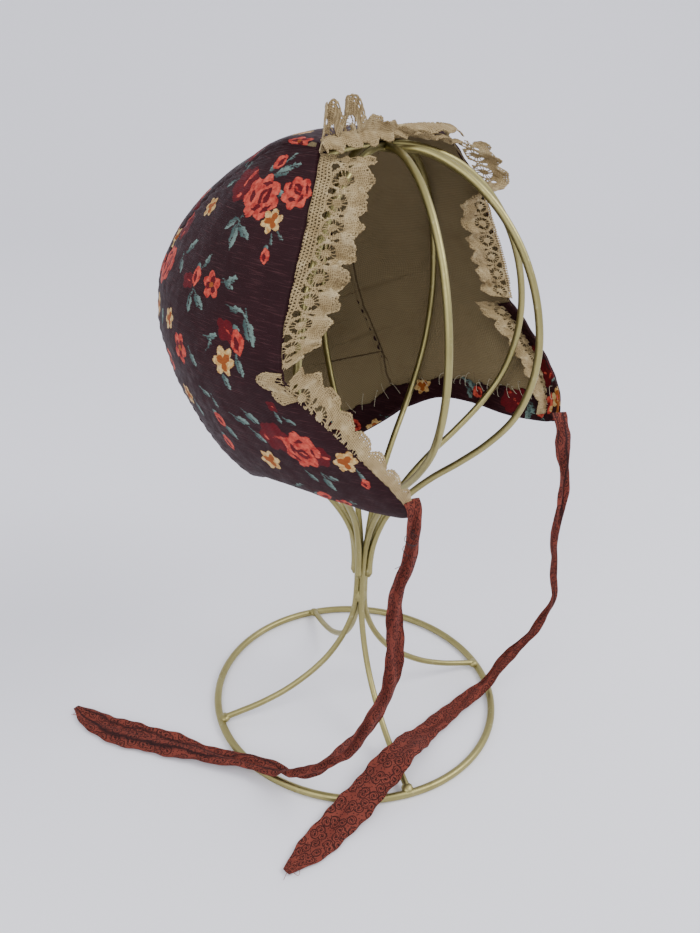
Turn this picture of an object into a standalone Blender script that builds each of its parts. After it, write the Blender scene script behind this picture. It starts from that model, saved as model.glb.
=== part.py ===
"""Frame cap of printed cotton with a lace edge, on the plain wire stand that holds it.

The face of the cap looks along -Y, the wearer's left is +X and the stand's ring lies on z = 0.
Sizes are worked out from the driving dimensions and the short tables below, in millimetres,
and the meshes are made in metres.
"""

import math

import bmesh
import bpy
import numpy as np
from mathutils import Matrix, Vector

OBJECT_NAME = "frame_cap_on_wire_stand"
MM = 0.001
GAP = 0.3

# Where the stand's axis is, forward of the middle of the whole object's box
STAND_FORWARD = 20.4

# Wire stand
RING_RADIUS = 92.6
RING_WIRE = 4.8
RING_STEPS = 48
HOOP_WIRE = 4.0
WIRE_SIDES = 8
HOOPS = 4
FIRST_LEG_ANGLE = -28.9
RIB_TURN = 180.0 / HOOPS
BUNDLE_RADIUS = 2.7
WELD_RADIUS = 5.3
CROSSING_STEP = 0.8
WELD_DISTANCE = 0.00003
SEAM_WELD = 0.0002

# A leg from the ring up to the bundle: distance from the axis, height
LEG_ROWS = [
    (91.6, 4.4),
    (80.0, 6.9),
    (66.0, 10.4),
    (50.0, 16.6),
    (36.0, 25.0),
    (26.0, 33.0),
    (19.0, 40.5),
    (12.5, 50.0),
    (7.6, 60.0),
    (4.0, 71.0),
    (BUNDLE_RADIUS, 84.0),
    (BUNDLE_RADIUS, 104.0),
]

# The same wire from the bundle up to its rib: distance from the axis, height
LEG_NECK_ROWS = [
    (4.2, 120.0),
    (8.6, 134.0),
]

# The lower end of a wire that is welded to the outside of the bundle: distance, height
WELDED_END_ROWS = [
    (WELD_RADIUS, 101.0),
    (WELD_RADIUS, 110.0),
    (6.6, 122.0),
    (10.0, 135.0),
]

# A rib from the neck up to the crown: distance from the axis, height
RIB_ROWS = [
    (15.5, 147.7),
    (27.5, 164.5),
    (40.7, 179.0),
    (56.0, 193.0),
    (70.5, 208.0),
    (82.5, 225.0),
    (88.9, 244.0),
    (90.6, 264.0),
    (87.6, 284.0),
    (81.0, 303.0),
    (71.2, 320.0),
    (57.5, 335.5),
    (40.6, 347.5),
    (20.5, 354.8),
]
CROWN_HEIGHT = 357.0

# Cap in level slices: height, half width, reach behind the stand's axis
CAP_ROWS = [
    (150.0, 24.0, 57.0),
    (165.0, 45.0, 71.0),
    (180.0, 63.0, 84.0),
    (200.0, 82.0, 99.0),
    (220.0, 92.0, 115.0),
    (240.0, 98.5, 128.0),
    (260.0, 101.5, 134.5),
    (280.0, 98.0, 136.0),
    (300.0, 89.0, 128.0),
    (320.0, 78.5, 110.5),
    (335.0, 69.5, 89.5),
    (348.0, 60.0, 67.0),
    (354.0, 55.5, 56.0),
    (358.5, 50.0, 43.0),
    (361.0, 40.0, 33.0),
    (362.2, 20.0, 23.0),
    (362.5, 0.0, 15.0),
]
WIDEST_BEHIND = 15.0
BACK_ROUNDNESS = 1.9
FRONT_TAPER = 0.002

# The rows of the centre panel fan out from this line through both ears
EAR_FORWARD = -15.0
EAR_HEIGHT = 262.0
FAN_SHORTEST = 20.0
FAN_LONGEST = 160.0
FAN_HALVINGS = 40

# Seam between centre and side panels: angle of the fan from straight ahead, half width
SEAM_ROWS = [
    (79.0, 49.0),
    (110.0, 51.5),
    (143.0, 60.0),
    (170.0, 71.0),
    (186.0, 76.0),
    (199.0, 79.5),
    (219.0, 80.0),
    (241.0, 76.0),
    (255.0, 69.5),
    (262.0, 66.0),
]
NAPE_ANGLE = 249.0

# Side outlines of a side panel: forward of the stand's axis, height
CHEEK_RIM = [
    (78.5, 204.5),
    (80.5, 210.0),
    (76.0, 220.0),
    (67.0, 230.0),
    (56.0, 240.0),
    (43.0, 250.5),
    (26.5, 263.5),
]
FACE_EDGE = [
    (26.5, 263.5),
    (24.5, 272.0),
    (21.0, 290.0),
    (18.2, 307.0),
    (15.0, 325.0),
    (11.0, 340.0),
    (7.5, 349.5),
    (3.0, 358.5),
]
HEM = [
    (78.5, 204.5),
    (74.0, 201.8),
    (67.0, 200.3),
    (48.0, 198.6),
    (24.0, 198.0),
    (5.0, 196.3),
    (-6.0, 193.8),
    (-15.0, 189.5),
    (-22.0, 185.5),
    (-27.0, 182.8),
]
CHEEK_STEPS = 5
FACE_STEPS = 11
RIM_BEND = CHEEK_STEPS / (CHEEK_STEPS + FACE_STEPS)
SIDE_STEPS = 9
CENTRE_STEPS = 10
COLUMN_BIAS = 1.35
SEAM_CLEARANCE = 0.5

# How the cheek pieces have bent with wear
RIGHT_TIP_DROP = 5.0
LEFT_TIP_LIFT = 3.0
RIGHT_RIM_ROLL = 4.0
LEFT_RIM_ROLL = 6.0
ROLL_WIDTH = 13.0
LEFT_CHEEK_FLARE = 10.5
FLARE_START = 0.22
FLARE_WIDTH = 45.0
SWELL_EASE = 0.7

# Cloth walls, outermost first
PRINT_WALL = 1.2
LINING_WALL = 0.8
FACING_WALL = 0.6

# Lace: where it starts on its edge, how far it stands forward, inward and up, and its width
FACE_LACE_STEPS = 24
CHEEK_LACE_STEPS = 15
FOREHEAD_LACE_STEPS = 30
LACE_CELLS = 5
LACE_WALL = 1.0
LACE_STAND_OFF = 1.0
LACE_ROOT_STEP = 0.04
SCALLOP = 0.06
WHEEL_EVERY = 3
FIRST_WHEEL = 1
EDGE_SAMPLES = 200
EDGE_STEP = 0.01
RIGHT_FACE_LACE = [
    (0.02, 0.97, 0.22, 0.0, 27.0),
    (0.35, 0.93, 0.30, 0.0, 27.0),
    (0.65, 0.80, 0.55, 0.0, 26.0),
    (0.84, 0.65, 0.70, 0.1, 21.0),
    (0.95, 0.45, 0.45, 0.5, 13.0),
]
LEFT_FACE_LACE = [
    (0.03, 0.85, -0.50, -0.10, 21.0),
    (0.25, 0.70, -0.70, -0.05, 20.0),
    (0.40, 0.50, 0.20, 0.10, 15.0),
    (0.52, 0.20, 1.00, 0.00, 17.0),
    (0.80, 0.05, 1.00, 0.10, 17.0),
    (0.95, 0.15, 0.90, 0.30, 14.0),
]
RIGHT_CHEEK_LACE = [
    (0.10, 0.15, 0.55, 0.80, 10.0),
    (0.40, 0.20, 0.65, 0.75, 16.0),
    (0.70, 0.20, 0.65, 0.75, 20.0),
    (0.82, 0.35, 0.40, 0.80, 16.0),
    (0.93, 0.65, 0.10, 0.70, 11.0),
]
LEFT_CHEEK_LACE = [
    (0.12, 0.10, 0.80, 0.45, 9.0),
    (0.40, 0.10, 0.97, 0.10, 11.0),
    (0.75, 0.05, 1.00, 0.05, 11.0),
    (0.95, 0.05, 0.95, 0.10, 11.0),
]
FOREHEAD_LACE = [
    (0.02, 0.20, 0.00, 0.95, 17.0),
    (0.04, 0.10, 0.00, 1.00, 21.0),
    (0.09, 0.10, 0.00, 1.00, 21.0),
    (0.12, 0.25, 0.00, 0.95, 11.0),
    (0.16, 0.10, 0.00, 1.00, 21.0),
    (0.22, 0.10, 0.00, 1.00, 21.0),
    (0.26, 0.30, 0.00, 0.90, 10.0),
    (0.45, 0.80, 0.00, 0.30, 9.0),
    (0.60, 0.85, 0.00, -0.35, 9.0),
    (0.97, 0.85, 0.00, -0.40, 10.0),
]
RUFFLE_HEIGHT = 2.2
RUFFLE_LENGTH = 15.0

# Ties: left of the stand's axis, behind it, height, width, thickness, turn of the width
RIGHT_TIE = [
    (-68.5, -84.4, 208.0, 7.0, 2.6, 35.0),
    (-69.0, -85.0, 195.0, 7.0, 3.6, 30.0),
    (-69.5, -84.0, 180.0, 7.5, 4.0, 30.0),
    (-72.0, -80.5, 163.0, 7.5, 4.0, 40.0),
    (-72.3, -80.0, 149.0, 8.0, 4.0, 40.0),
    (-71.2, -81.2, 133.0, 9.5, 3.6, 30.0),
    (-71.0, -81.4, 117.0, 9.5, 3.6, 30.0),
    (-72.2, -80.0, 101.0, 8.5, 4.0, 35.0),
    (-75.5, -75.5, 83.0, 8.5, 4.0, 50.0),
    (-79.5, -67.5, 62.0, 9.0, 4.0, 70.0),
    (-82.5, -56.5, 43.0, 9.0, 4.0, 85.0),
    (-86.5, -41.5, 25.0, 9.5, 4.0, 100.0),
    (-89.5, -25.0, 12.5, 10.5, 3.6, 110.0),
    (-91.8, -8.0, 8.2, 12.0, 3.0, 170.0),
    (-97.0, 6.0, 7.2, 12.5, 3.0, 160.0),
    (-104.0, 21.0, 4.4, 13.0, 3.0, 152.0),
    (-111.5, 39.0, 3.0, 16.5, 3.0, 152.0),
    (-119.0, 57.0, 2.6, 19.5, 3.0, 152.0),
    (-127.5, 74.0, 2.6, 20.0, 3.0, 155.0),
    (-134.0, 90.0, 2.4, 19.0, 3.0, 163.0),
    (-137.0, 107.0, 2.2, 15.0, 2.6, 175.0),
    (-138.0, 123.0, 2.0, 4.0, 2.0, 180.0),
]
LEFT_TIE = [
    (71.5, -84.6, 207.5, 9.0, 2.6, 330.0),
    (75.6, -85.2, 195.0, 11.0, 3.6, 330.0),
    (79.0, -86.0, 181.0, 9.5, 4.0, 340.0),
    (80.5, -87.8, 164.0, 8.5, 4.0, 350.0),
    (80.4, -87.9, 149.0, 10.0, 4.0, 0.0),
    (80.5, -88.0, 133.0, 10.0, 4.0, 0.0),
    (81.6, -89.2, 116.0, 8.0, 4.2, 10.0),
    (82.6, -90.6, 101.0, 7.0, 4.2, 20.0),
    (84.6, -92.8, 86.0, 7.5, 4.0, 30.0),
    (82.8, -90.5, 71.0, 7.0, 4.0, 40.0),
    (77.5, -84.4, 54.5, 7.0, 4.0, 50.0),
    (75.0, -76.0, 38.0, 7.5, 4.0, 60.0),
    (70.5, -69.0, 23.0, 8.0, 4.0, 70.0),
    (62.0, -65.5, 10.4, 8.5, 3.4, 80.0),
    (47.0, -61.8, 5.6, 10.0, 3.4, 84.0),
    (29.0, -60.5, 4.0, 12.0, 3.4, 88.0),
    (10.0, -60.0, 4.4, 13.0, 3.2, 92.0),
    (-8.0, -61.4, 7.8, 15.0, 3.0, 92.0),
    (-21.0, -63.4, 13.2, 17.0, 3.0, 94.0),
    (-35.0, -65.4, 16.2, 18.5, 3.0, 94.0),
    (-50.0, -65.6, 13.4, 21.0, 3.0, 91.0),
    (-66.0, -65.4, 8.8, 22.0, 3.0, 90.0),
    (-82.0, -65.4, 5.2, 21.0, 3.0, 90.0),
    (-100.0, -65.6, 2.8, 20.0, 3.0, 90.0),
    (-117.0, -65.6, 2.4, 15.0, 2.6, 90.0),
    (-132.0, -65.0, 2.0, 5.0, 2.0, 90.0),
]
TIE_SIDES = 8
TIE_PUFF = 0.7


def clear_scene():
    for item in list(bpy.data.objects):
        bpy.data.objects.remove(item, do_unlink=True)


def make_collections():
    parts = bpy.data.collections.new(OBJECT_NAME)
    helpers = bpy.data.collections.new("helpers")
    for group in (parts, helpers):
        bpy.context.scene.collection.children.link(group)
    return parts, helpers


def make_material(name, colour, roughness, metallic=0.0):
    material = bpy.data.materials.new(name)
    material.use_nodes = True
    shader = material.node_tree.nodes["Principled BSDF"]
    shader.inputs["Base Color"].default_value = (*colour, 1.0)
    shader.inputs["Roughness"].default_value = roughness
    shader.inputs["Metallic"].default_value = metallic
    return material


def on_axis(angle, radius, height):
    """A point beside the stand's axis, in metres."""
    turn = math.radians(angle)
    x = radius * math.cos(turn)
    y = radius * math.sin(turn) - STAND_FORWARD
    return Vector((x, y, height)) * MM


def wire_mesh(name, points, thickness):
    """A closed tube along points, as a mesh with its caps welded."""
    curve = bpy.data.curves.new(name, "CURVE")
    curve.dimensions = "3D"
    curve.bevel_depth = 0.5 * thickness * MM
    curve.bevel_resolution = 2
    curve.use_fill_caps = True
    spline = curve.splines.new("POLY")
    spline.points.add(len(points) - 1)
    for target, point in zip(spline.points, points):
        target.co = (*point, 1.0)
    holder = bpy.data.objects.new(name, curve)
    bpy.context.scene.collection.objects.link(holder)
    bpy.context.view_layer.update()
    evaluated = holder.evaluated_get(bpy.context.evaluated_depsgraph_get())
    mesh = bpy.data.meshes.new_from_object(evaluated)
    bpy.data.objects.remove(holder, do_unlink=True)
    shaped = bmesh.new()
    shaped.from_mesh(mesh)
    bmesh.ops.remove_doubles(shaped, verts=shaped.verts, dist=0.00001)
    bmesh.ops.recalc_face_normals(shaped, faces=shaped.faces)
    shaped.to_mesh(mesh)
    shaped.free()
    return mesh


def hoop_route(angle, rows, drop):
    """Up one side of the stand by its rows, over the crown and down the side opposite."""
    half = [on_axis(angle, distance, height) for distance, height in rows]
    other = [on_axis(angle + 180.0, distance, height) for distance, height in rows]
    return half + [on_axis(0.0, 0.0, CROWN_HEIGHT - drop)] + other[::-1]


def base_ring():
    """The ring is an eight-sided wire turned round the axis, with a flat facet underneath."""
    shaped = bmesh.new()
    circle_radius = 0.5 * RING_WIRE / math.cos(math.pi / WIRE_SIDES)
    ring = bmesh.ops.create_circle(shaped, segments=WIRE_SIDES, radius=circle_radius * MM)
    lean = Matrix.Rotation(math.pi / WIRE_SIDES, 4, "Z")
    stand_up = Matrix.Rotation(math.pi / 2.0, 4, "X")
    place = Matrix.Translation((RING_RADIUS * MM, 0.0, 0.5 * RING_WIRE * MM))
    bmesh.ops.transform(shaped, matrix=place @ stand_up @ lean, verts=ring["verts"])
    bmesh.ops.spin(
        shaped,
        geom=shaped.verts[:] + shaped.edges[:],
        axis=(0.0, 0.0, 1.0),
        cent=(0.0, 0.0, 0.0),
        angle=math.tau,
        steps=RING_STEPS,
        use_merge=True,
    )
    bmesh.ops.recalc_face_normals(shaped, faces=shaped.faces)
    bmesh.ops.translate(shaped, verts=shaped.verts, vec=(0.0, -STAND_FORWARD * MM, 0.0))
    mesh = bpy.data.meshes.new("base_ring")
    shaped.to_mesh(mesh)
    shaped.free()
    return mesh


def make_stand(parts, helpers, material):
    """The ring and the four bent wires are soldered into one body.

    Two of the wires are bent on into legs; the other two stop at the bundle.
    """
    stand = bpy.data.objects.new("wire_stand", base_ring())
    parts.objects.link(stand)
    stand.data.materials.append(material)
    hoops = []
    for turn in range(HOOPS):
        angle = FIRST_LEG_ANGLE + RIB_TURN * turn
        lower = LEG_ROWS + LEG_NECK_ROWS if turn % 2 == 0 else WELDED_END_ROWS
        route = hoop_route(angle, lower + RIB_ROWS, CROSSING_STEP * turn)
        hoops.append(wire_mesh(f"hoop_{turn}", route, HOOP_WIRE))
    for number, mesh in enumerate(hoops):
        helper = bpy.data.objects.new(f"hoop_{number}", mesh)
        helper.hide_render = True
        helper.display_type = "WIRE"
        helpers.objects.link(helper)
        join = stand.modifiers.new(f"solder_{number}", "BOOLEAN")
        join.operation = "UNION"
        join.solver = "EXACT"
        join.object = helper
    tidy = stand.modifiers.new("weld", "WELD")
    tidy.merge_threshold = WELD_DISTANCE


def in_frame(side, forward, height):
    """A point of the cap, in metres: side is to the wearer's left, forward is out of the face."""
    return Vector((side, -forward - STAND_FORWARD, height)) * MM


def eased(rows, column, at):
    """A smooth, never overshooting reading of one column of a table at a key value."""
    keys = np.array([row[0] for row in rows])
    values = np.array([row[column] for row in rows])
    slopes = np.diff(values) / np.diff(keys)
    lean = np.zeros(len(rows))
    lean[0], lean[-1] = slopes[0], slopes[-1]
    for i in range(1, len(rows) - 1):
        if slopes[i - 1] * slopes[i] > 0.0:
            lean[i] = 2.0 * slopes[i - 1] * slopes[i] / (slopes[i - 1] + slopes[i])
    at = min(max(at, keys[0]), keys[-1])
    i = min(int(np.searchsorted(keys, at, side="right")) - 1, len(rows) - 2)
    span = keys[i + 1] - keys[i]
    t = (at - keys[i]) / span
    start = values[i] * (1.0 + 2.0 * t) + lean[i] * span * t
    end = values[i + 1] * (3.0 - 2.0 * t) - lean[i + 1] * span * (1.0 - t)
    return float(start * (1.0 - t) ** 2 + end * t**2)


def along(points, share):
    """The point that lies a share of the way along a line of points."""
    line = np.array(points)
    reached = np.concatenate([[0.0], np.cumsum(np.linalg.norm(np.diff(line, axis=0), axis=1))])
    rows = [(length, *point) for length, point in zip(reached, line)]
    at = share * reached[-1]
    return np.array([eased(rows, column, at) for column in range(1, line.shape[1] + 1)])


def half_width(forward, height):
    """Half the cap's width at a place of its side view, or less than nothing outside it."""
    width = eased(CAP_ROWS, 1, height)
    behind = -WIDEST_BEHIND - forward
    if behind <= 0.0:
        return width - FRONT_TAPER * behind * behind
    reach = eased(CAP_ROWS, 2, height) - WIDEST_BEHIND
    share = behind / reach
    if share >= 1.0:
        return -share
    return width * (1.0 - share**BACK_ROUNDNESS) ** (1.0 / BACK_ROUNDNESS)


def fan_point(angle, side):
    """Where a ray of the fan meets the cap at that half width: forward, height."""
    turn = math.radians(angle)
    step = np.array([math.cos(turn), math.sin(turn)])
    ear = np.array([EAR_FORWARD, EAR_HEIGHT])
    near, far = FAN_SHORTEST, FAN_LONGEST
    for _ in range(FAN_HALVINGS):
        middle = 0.5 * (near + far)
        place = ear + middle * step
        inside = CAP_ROWS[0][0] <= place[1] <= CAP_ROWS[-1][0]
        if inside and half_width(*place) > abs(side):
            near = middle
        else:
            far = middle
    return ear + near * step


def row_angle(share, across):
    """The fan's angle at a share of the way from hem to forehead, across from -1 to 1."""
    hem_angle = NAPE_ANGLE + (SEAM_ROWS[-1][0] - NAPE_ANGLE) * across * across
    return hem_angle + (SEAM_ROWS[0][0] - hem_angle) * share


def seam_point(share):
    """The seam, from its hem end to its forehead end: side, forward, height."""
    angle = row_angle(share, 1.0)
    side = eased(SEAM_ROWS, 1, angle)
    return np.array([side, *fan_point(angle, side)])


def centre_point(across, share, trim=0.0):
    """The centre panel's outer face; trim holds it back from the seams."""
    angle = row_angle(share, across)
    side = across * (eased(SEAM_ROWS, 1, row_angle(share, 1.0)) - trim)
    forward, height = fan_point(angle, side)
    return np.array([side, forward, height])


def edge_point(share):
    """The side panel's front outline in side view, from the cheek tip up to the forehead."""
    if share <= RIM_BEND:
        return along(CHEEK_RIM, share / RIM_BEND)
    return along(FACE_EDGE, (share - RIM_BEND) / (1.0 - RIM_BEND))


def cheek_swell(mirror, at, length, rim_share):
    """How far a cheek stands out by its flare and turns in along its rolled rim."""
    rise = math.sin(math.pi * min(max(rim_share, 0.0), 1.0)) ** SWELL_EASE
    rolled = max(0.0, 1.0 - at * length / ROLL_WIDTH) ** 2
    if mirror < 0.0:
        return -RIGHT_RIM_ROLL * rolled * rise
    nearness = max(0.0, 1.0 - at * length / FLARE_WIDTH)
    spread = FLARE_START + (1.0 - FLARE_START) * min(max(rim_share, 0.0), 1.0)
    flare = LEFT_CHEEK_FLARE * nearness**2 * (3.0 - 2.0 * nearness)
    return flare * math.sin(math.pi * spread) ** SWELL_EASE - LEFT_RIM_ROLL * rolled * rise


def side_point(mirror, back, share, trim=0.0):
    """A side panel's outer face: back runs from the front outline to the seam."""
    front, seam = edge_point(share), seam_point(share)[1:]
    at = back**COLUMN_BIAS
    line = front + (seam - front) * at
    cheek_share = share / RIM_BEND
    hem_front, hem_seam = np.array(HEM[0]), np.array(HEM[-1])
    sag = along(HEM, at) - hem_front - (hem_seam - hem_front) * at
    line = line + max(0.0, 1.0 - cheek_share) * sag
    length = max(float(np.linalg.norm(seam - front)), 1.0)
    line = line + (front - seam) / length * trim * at
    tip_share = ((1.0 - at) * max(0.0, 1.0 - cheek_share)) ** 2
    line[1] += tip_share * (LEFT_TIP_LIFT if mirror > 0.0 else -RIGHT_TIP_DROP)
    side = half_width(*line) + cheek_swell(mirror, at, length, cheek_share)
    return np.array([mirror * side, *line])


def formed_grid(across_steps, along_steps, place):
    """A grid sheet whose every vertex is moved to where place(across, along) puts it."""
    shaped = bmesh.new()
    bmesh.ops.create_grid(shaped, x_segments=across_steps, y_segments=along_steps, size=1.0)
    row_of = shaped.faces.layers.int.new("row")
    for face in shaped.faces:
        face[row_of] = int((0.5 + 0.5 * face.calc_center_median().y) * along_steps)
    for vertex in shaped.verts:
        across, share = 0.5 + 0.5 * vertex.co.x, 0.5 + 0.5 * vertex.co.y
        vertex.co = in_frame(*place(across, share))
    bmesh.ops.remove_doubles(shaped, verts=shaped.verts, dist=WELD_DISTANCE)
    return shaped


def sink(shaped, depth):
    """Moves a sheet inward by an even depth, in millimetres."""
    shaped.normal_update()
    moves = [vertex.normal * vertex.calc_shell_factor() * depth * MM for vertex in shaped.verts]
    for vertex, move in zip(shaped.verts, moves):
        vertex.co -= move


def turn_outward(shaped, middle):
    """Turns the faces of an open sheet so that they look away from a point."""
    bmesh.ops.recalc_face_normals(shaped, faces=shaped.faces)
    away = sum((face.calc_center_median() - middle).dot(face.normal) for face in shaped.faces)
    if away < 0.0:
        bmesh.ops.reverse_faces(shaped, faces=shaped.faces)


def cloth_object(name, shaped, wall, parts, material, centred=False):
    """Makes the sheet an object whose wall Solidify gives it."""
    mesh = bpy.data.meshes.new(name)
    shaped.to_mesh(mesh)
    shaped.free()
    mesh.polygons.foreach_set("use_smooth", [True] * len(mesh.polygons))
    cloth = bpy.data.objects.new(name, mesh)
    parts.objects.link(cloth)
    cloth.data.materials.append(material)
    thicken = cloth.modifiers.new("wall", "SOLIDIFY")
    thicken.thickness = wall * MM
    thicken.offset = 0.0 if centred else -1.0
    thicken.use_even_offset = not centred
    return cloth


def cap_middle():
    return in_frame(0.0, EAR_FORWARD, EAR_HEIGHT)


def centre_sheet(trim=0.0):
    def place(across, share):
        return centre_point(2.0 * across - 1.0, share, trim)

    return formed_grid(CENTRE_STEPS, CHEEK_STEPS + FACE_STEPS, place)


def side_sheet(mirror, trim=0.0):
    def place(back, share):
        return side_point(mirror, back, share, trim)

    return formed_grid(SIDE_STEPS, CHEEK_STEPS + FACE_STEPS, place)


def inner_sheet(depth):
    """The whole cap as one sheet, welded along its seams, at a depth inside its outer face."""
    whole = bmesh.new()
    for sheet in (centre_sheet(), side_sheet(-1.0), side_sheet(1.0)):
        carrier = bpy.data.meshes.new("carrier")
        sheet.to_mesh(carrier)
        sheet.free()
        whole.from_mesh(carrier)
        bpy.data.meshes.remove(carrier)
    bmesh.ops.remove_doubles(whole, verts=whole.verts, dist=SEAM_WELD)
    turn_outward(whole, cap_middle())
    sink(whole, depth)
    return whole


def make_panels(parts, material):
    centre = centre_sheet(SEAM_CLEARANCE)
    turn_outward(centre, cap_middle())
    cloth_object("centre_panel", centre, PRINT_WALL, parts, material)
    for name, mirror in (("right_side_panel", -1.0), ("left_side_panel", 1.0)):
        side = side_sheet(mirror, SEAM_CLEARANCE)
        turn_outward(side, cap_middle())
        cloth_object(name, side, PRINT_WALL, parts, material)


def make_lining(parts, material):
    whole = inner_sheet(PRINT_WALL + GAP)
    cloth_object("lining", whole, LINING_WALL, parts, material)


def make_facing(parts, material):
    """The facing is the lowest row of the cap again, inside the lining."""
    whole = inner_sheet(PRINT_WALL + LINING_WALL + 2.0 * GAP)
    row_of = whole.faces.layers.int["row"]
    above = [face for face in whole.faces if face[row_of] > 0]
    bmesh.ops.delete(whole, geom=above, context="FACES")
    cloth_object("neck_facing", whole, FACING_WALL, parts, material)


def face_edge_point(mirror, share, into=0.0):
    """The face edge from the forehead corner down to the notch."""
    return side_point(mirror, into, RIM_BEND + (1.0 - RIM_BEND) * (1.0 - share))


def cheek_edge_point(mirror, share, into=0.0):
    """The upper rim of the cheek piece from its tip up to the notch."""
    return side_point(mirror, into, RIM_BEND * share)


def forehead_edge_point(mirror, share, into=0.0):
    """The forehead edge of the centre panel from the wearer's right to the left."""
    return centre_point(mirror * (2.0 * share - 1.0), 1.0 - into)


def unit(vector):
    return vector / np.linalg.norm(vector)


def lace_sheet(edge, lean_rows, mirror, steps):
    """A gathered strip that stands off an edge and leans as its table says."""
    line = np.array([edge(mirror, i / EDGE_SAMPLES) for i in range(EDGE_SAMPLES + 1)])
    length = float(np.linalg.norm(np.diff(line, axis=0), axis=1).sum())

    def place(across, share):
        at = lean_rows[0][0] + (lean_rows[-1][0] - lean_rows[0][0]) * share
        forward, inward, up, width = (eased(lean_rows, column, at) for column in (1, 2, 3, 4))
        root = edge(mirror, at)
        lean = unit(np.array([-mirror * inward, forward, up]))
        ahead, behind = min(at + EDGE_STEP, 1.0), max(at - EDGE_STEP, 0.0)
        run = unit(edge(mirror, ahead) - edge(mirror, behind))
        clear = unit(root - edge(mirror, at, LACE_ROOT_STEP))
        face = unit(np.cross(run, lean))
        turns = math.tau * at * length / RUFFLE_LENGTH
        reach = width * (1.0 + SCALLOP * math.cos(2.0 * turns)) * across
        wave = RUFFLE_HEIGHT * math.sin(turns) * across
        return root + clear * LACE_STAND_OFF + lean * reach + face * wave

    return formed_grid(LACE_CELLS, steps, place)


def pierce(shaped):
    """Opens one gap for the middle of each lace wheel."""
    row_of = shaped.faces.layers.int["row"]
    middle = LACE_CELLS // 2
    holes = [
        face
        for face in shaped.faces
        if face.index % LACE_CELLS == middle and face[row_of] % WHEEL_EVERY == FIRST_WHEEL
    ]
    bmesh.ops.delete(shaped, geom=holes, context="FACES_ONLY")


def make_lace(parts, material):
    for name, edge, rows, mirror, steps in (
        ("right_face_lace", face_edge_point, RIGHT_FACE_LACE, -1.0, FACE_LACE_STEPS),
        ("left_face_lace", face_edge_point, LEFT_FACE_LACE, 1.0, FACE_LACE_STEPS),
        ("right_cheek_lace", cheek_edge_point, RIGHT_CHEEK_LACE, -1.0, CHEEK_LACE_STEPS),
        ("left_cheek_lace", cheek_edge_point, LEFT_CHEEK_LACE, 1.0, CHEEK_LACE_STEPS),
        ("forehead_lace", forehead_edge_point, FOREHEAD_LACE, 1.0, FOREHEAD_LACE_STEPS),
    ):
        shaped = lace_sheet(edge, rows, mirror, steps)
        pierce(shaped)
        cloth_object(name, shaped, LACE_WALL, parts, material, centred=True)


def tie_rings(rows):
    """Flattened round sections along a tie, each square to its route."""
    centres = [in_frame(row[0], -row[1], row[2]) for row in rows]
    rings = []
    for i, row in enumerate(rows):
        before, after = centres[max(i - 1, 0)], centres[min(i + 1, len(rows) - 1)]
        run = (after - before).normalized()
        turn = math.radians(row[5])
        width_way = Vector((math.cos(turn), math.sin(turn), 0.0))
        width_way = (width_way - run * width_way.dot(run)).normalized()
        thick_way = run.cross(width_way)
        ring = []
        for k in range(TIE_SIDES):
            angle = math.tau * k / TIE_SIDES
            wide, thick = math.cos(angle), math.sin(angle)
            wide = math.copysign(abs(wide) ** TIE_PUFF, wide)
            thick = math.copysign(abs(thick) ** TIE_PUFF, thick)
            offset = width_way * (0.5 * row[3] * wide) + thick_way * (0.5 * row[4] * thick)
            ring.append(centres[i] + offset * MM)
        rings.append(ring)
    return rings


def make_tie(name, rows, parts, material):
    """A tie is a loft between flattened sections of its own width and fold."""
    shaped = bmesh.new()
    loops = [[shaped.verts.new(point) for point in ring] for ring in tie_rings(rows)]
    for lower, upper in zip(loops, loops[1:]):
        for k in range(TIE_SIDES):
            after = (k + 1) % TIE_SIDES
            shaped.faces.new((lower[k], lower[after], upper[after], upper[k]))
    shaped.faces.new(loops[0])
    shaped.faces.new(loops[-1])
    bmesh.ops.recalc_face_normals(shaped, faces=shaped.faces)
    mesh = bpy.data.meshes.new(name)
    shaped.to_mesh(mesh)
    shaped.free()
    mesh.polygons.foreach_set("use_smooth", [True] * len(mesh.polygons))
    tie = bpy.data.objects.new(name, mesh)
    parts.objects.link(tie)
    tie.data.materials.append(material)


def main():
    clear_scene()
    parts, helpers = make_collections()
    brass = make_material("satin_brass", (0.24, 0.21, 0.08), 0.34, 1.0)
    printed = make_material("printed_cotton", (0.05, 0.022, 0.028), 0.6)
    linen = make_material("olive_linen", (0.17, 0.14, 0.09), 0.85)
    lace = make_material("cream_lace", (0.62, 0.52, 0.35), 0.8)
    scroll = make_material("scroll_print_tape", (0.38, 0.08, 0.05), 0.8)
    make_stand(parts, helpers, brass)
    make_panels(parts, printed)
    make_lining(parts, linen)
    make_facing(parts, printed)
    make_lace(parts, lace)
    make_tie("right_tie", RIGHT_TIE, parts, scroll)
    make_tie("left_tie", LEFT_TIE, parts, scroll)


main()
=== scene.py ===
# %% [markdown]
# # A frame cap and its wire stand
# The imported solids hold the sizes. This lesson dresses them: each cell makes one real piece of
# cloth, lace or wire in the place of its plain solid, and prints what it made.

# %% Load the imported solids
import math

import bmesh
import bpy
import numpy as np
from mathutils import Matrix, Vector


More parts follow.
